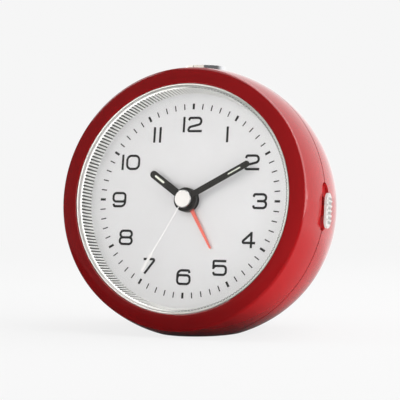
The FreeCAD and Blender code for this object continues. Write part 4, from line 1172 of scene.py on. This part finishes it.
@dataclass(frozen=True)
class Softbox:
    """A rectangular lamp that the camera doesn't see."""

    name: str
    place: Vector
    width: float
    height: float
    radiance: float
    aim: Vector = axis.centre
    tint: Colour = (1.0, 1.0, 1.0)
    named: tuple[str, ...] = ()
    reach: Reach = Reach.LIGHTS_ONLY
    shines: bool = True

    def hang(self) -> None:
        """Place the lamp and choose what it lights."""
        pick()
        bpy.ops.object.light_add(type="AREA", location=self.place)
        lamp = bpy.context.object
        lamp.name = self.name
        lamp.rotation_euler = (self.place - self.aim).to_track_quat("Z", "Y").to_euler()
        lamp.data.shape = "RECTANGLE"
        lamp.data.size, lamp.data.size_y = self.width, self.height
        lamp.data.energy = self.radiance * math.pi * self.width * self.height
        lamp.data.color = self.tint
        lamp.visible_camera = False
        lamp.visible_glossy = self.shines
        if self.named:
            chosen = bpy.data.collections.new(self.name)
            lamp.light_linking.receiver_collection = chosen
            for name in self.named:
                chosen.objects.link(bpy.data.objects[name])
            for linked in chosen.collection_objects:
                linked.light_linking.link_state = self.reach.value


@dataclass
class Studio:
    """The floor, the backdrop, the lamps and the camera."""

    azimuth: float = 23.73
    elevation: float = 1.41
    distance: float = 549.3 * MM
    pan: Pair = (-4.26 * MM, -0.15 * MM)
    image_side: int = 400
    focal_pixels: float = 1530.9
    sensor: float = 36.0
    far_clip: float = 100.0
    floor_half: float = 8.0
    floor_gap: float = 0.05 * MM
    behind: Pair = (0.1, 0.9)
    low: Pair = (0.01, 0.09)
    left: Pair = (0.3, 0.8)
    left_level: float = 0.05
    least_level: float = 0.165
    lamps: tuple[Softbox, ...] = (
        Softbox("key_left", lamp_spot(-78, 42, 0.9), 0.4, 0.4, 4.0),
        Softbox("side_right", lamp_spot(100, 20, 0.55), 0.7, 0.5, 3.6,
                named=("top_button", "alarm_slider"), reach=Reach.SPARES),
        Softbox("high_right", lamp_spot(125, 60, 0.8), 0.7, 0.6, 3.6,
                named=("alarm_slider",), reach=Reach.SPARES),
        Softbox("overhead", lamp_spot(0, 90, 0.8), 0.8, 0.8, 1.7),
        Softbox("low_right_card", Vector((0.285, 0.0, 0.002)), 0.5, 0.6, 2.0, aim=Vector((0.285, 0.0, 1.0)),
                named=("top_button", "alarm_slider"), reach=Reach.SPARES, shines=False),
        Softbox("dial_card", lamp_spot(-15, 20, 0.6), 0.7, 0.7, 2.5, tint=(1.0, 0.965, 0.935),
                named=INSIDE_LENS, shines=False),
        Softbox("rim_card", lamp_spot(35, 12, 0.5), 0.4, 0.4, 5.2,
                named=("lens", "dial_ring"), shines=False),
        Softbox("button_window", lamp_spot(-20, 14, 0.6), 0.74, 0.5, 0.85, tint=(1.0, 0.9, 0.76),
                named=("top_button",)),
        Softbox("button_card", lamp_spot(-100, 14, 0.6), 0.92, 0.6, 1.05, tint=(1.0, 0.92, 0.80),
                named=("top_button",)),
        Softbox("slider_card", lamp_spot(60, 10, 0.5), 0.4, 0.4, 1.7,
                named=("alarm_slider",), shines=False),
    )

    def floor(self) -> None:
        """Lay the floor."""
        pick()
        bpy.ops.mesh.primitive_plane_add(size=2 * self.floor_half, location=(0, 0, -self.floor_gap))
        floor = bpy.context.object
        floor.name = "floor"
        FloorFinish("pale_floor").put_on(floor)

    def backdrop(self) -> None:
        """Colour the surroundings: pale behind the clock and dim on the camera's side."""
        world = bpy.data.worlds.new("studio")
        bpy.context.scene.world = world
        world.use_nodes = True
        graph = Graph(world.node_tree)
        across, depth, height = graph.parts(graph.value("TexCoord", output="Generated"))
        low = 1 - (height * height).smooth(*self.low)
        left = (0 - across).smooth(*self.left) * low
        level = depth.smooth(*self.behind) + left * self.left_level + self.least_level
        level = graph.ray("Camera") * (PALE - level) + level
        shader = graph.value("Background", {"Color": (1, 1, 1), "Strength": level})
        graph.node("OutputWorld", {"Surface": shader})

    def camera(self) -> None:
        """Set the camera where the photograph was taken from."""
        back = way_to(self.azimuth, self.elevation)
        right = way_to(self.azimuth + 90, 0)
        above = back.cross(right)
        place = axis.centre + back * self.distance - right * self.pan[0] - above * self.pan[1]
        pick()
        bpy.ops.object.camera_add(location=place)
        camera = bpy.context.object
        camera.rotation_euler = Matrix((right, above, back)).transposed().to_euler()
        camera.data.sensor_width = self.sensor
        camera.data.lens = self.sensor * self.focal_pixels / self.image_side
        camera.data.clip_end = self.far_clip
        bpy.context.scene.camera = camera

    def build(self) -> None:
        """Set up the studio."""
        self.floor()
        self.backdrop()
        for lamp in self.lamps:
            lamp.hang()
        self.camera()
        bpy.context.scene.view_settings.view_transform = "Standard"


def dress_nodes() -> None:
    """Give every CAD node its finish."""
    for finish, names in NODE_FINISHES.items():
        for name in names:
            finish.put_on(frame["nodes"][name])
            log.info("dressed %s in %s", name, finish.name)


def main() -> None:
    """Build and dress the clock, then its studio."""
    logging.basicConfig(level=logging.INFO, format="%(name)s: %(message)s")
    dress_nodes()
    for piece in DialPrint().build():
        log.info("printed %s with %d faces", piece.name, len(piece.data.polygons))
    SecondHand().dress()
    LensRim().dress()
    SeamAndRecess().dress()
    for piece in (DialBush().build(), TopButton().build()):
        log.info("made %s with %d faces", piece.name, len(piece.data.polygons))
    Studio().build()


if __name__ == "__main__":
    main()
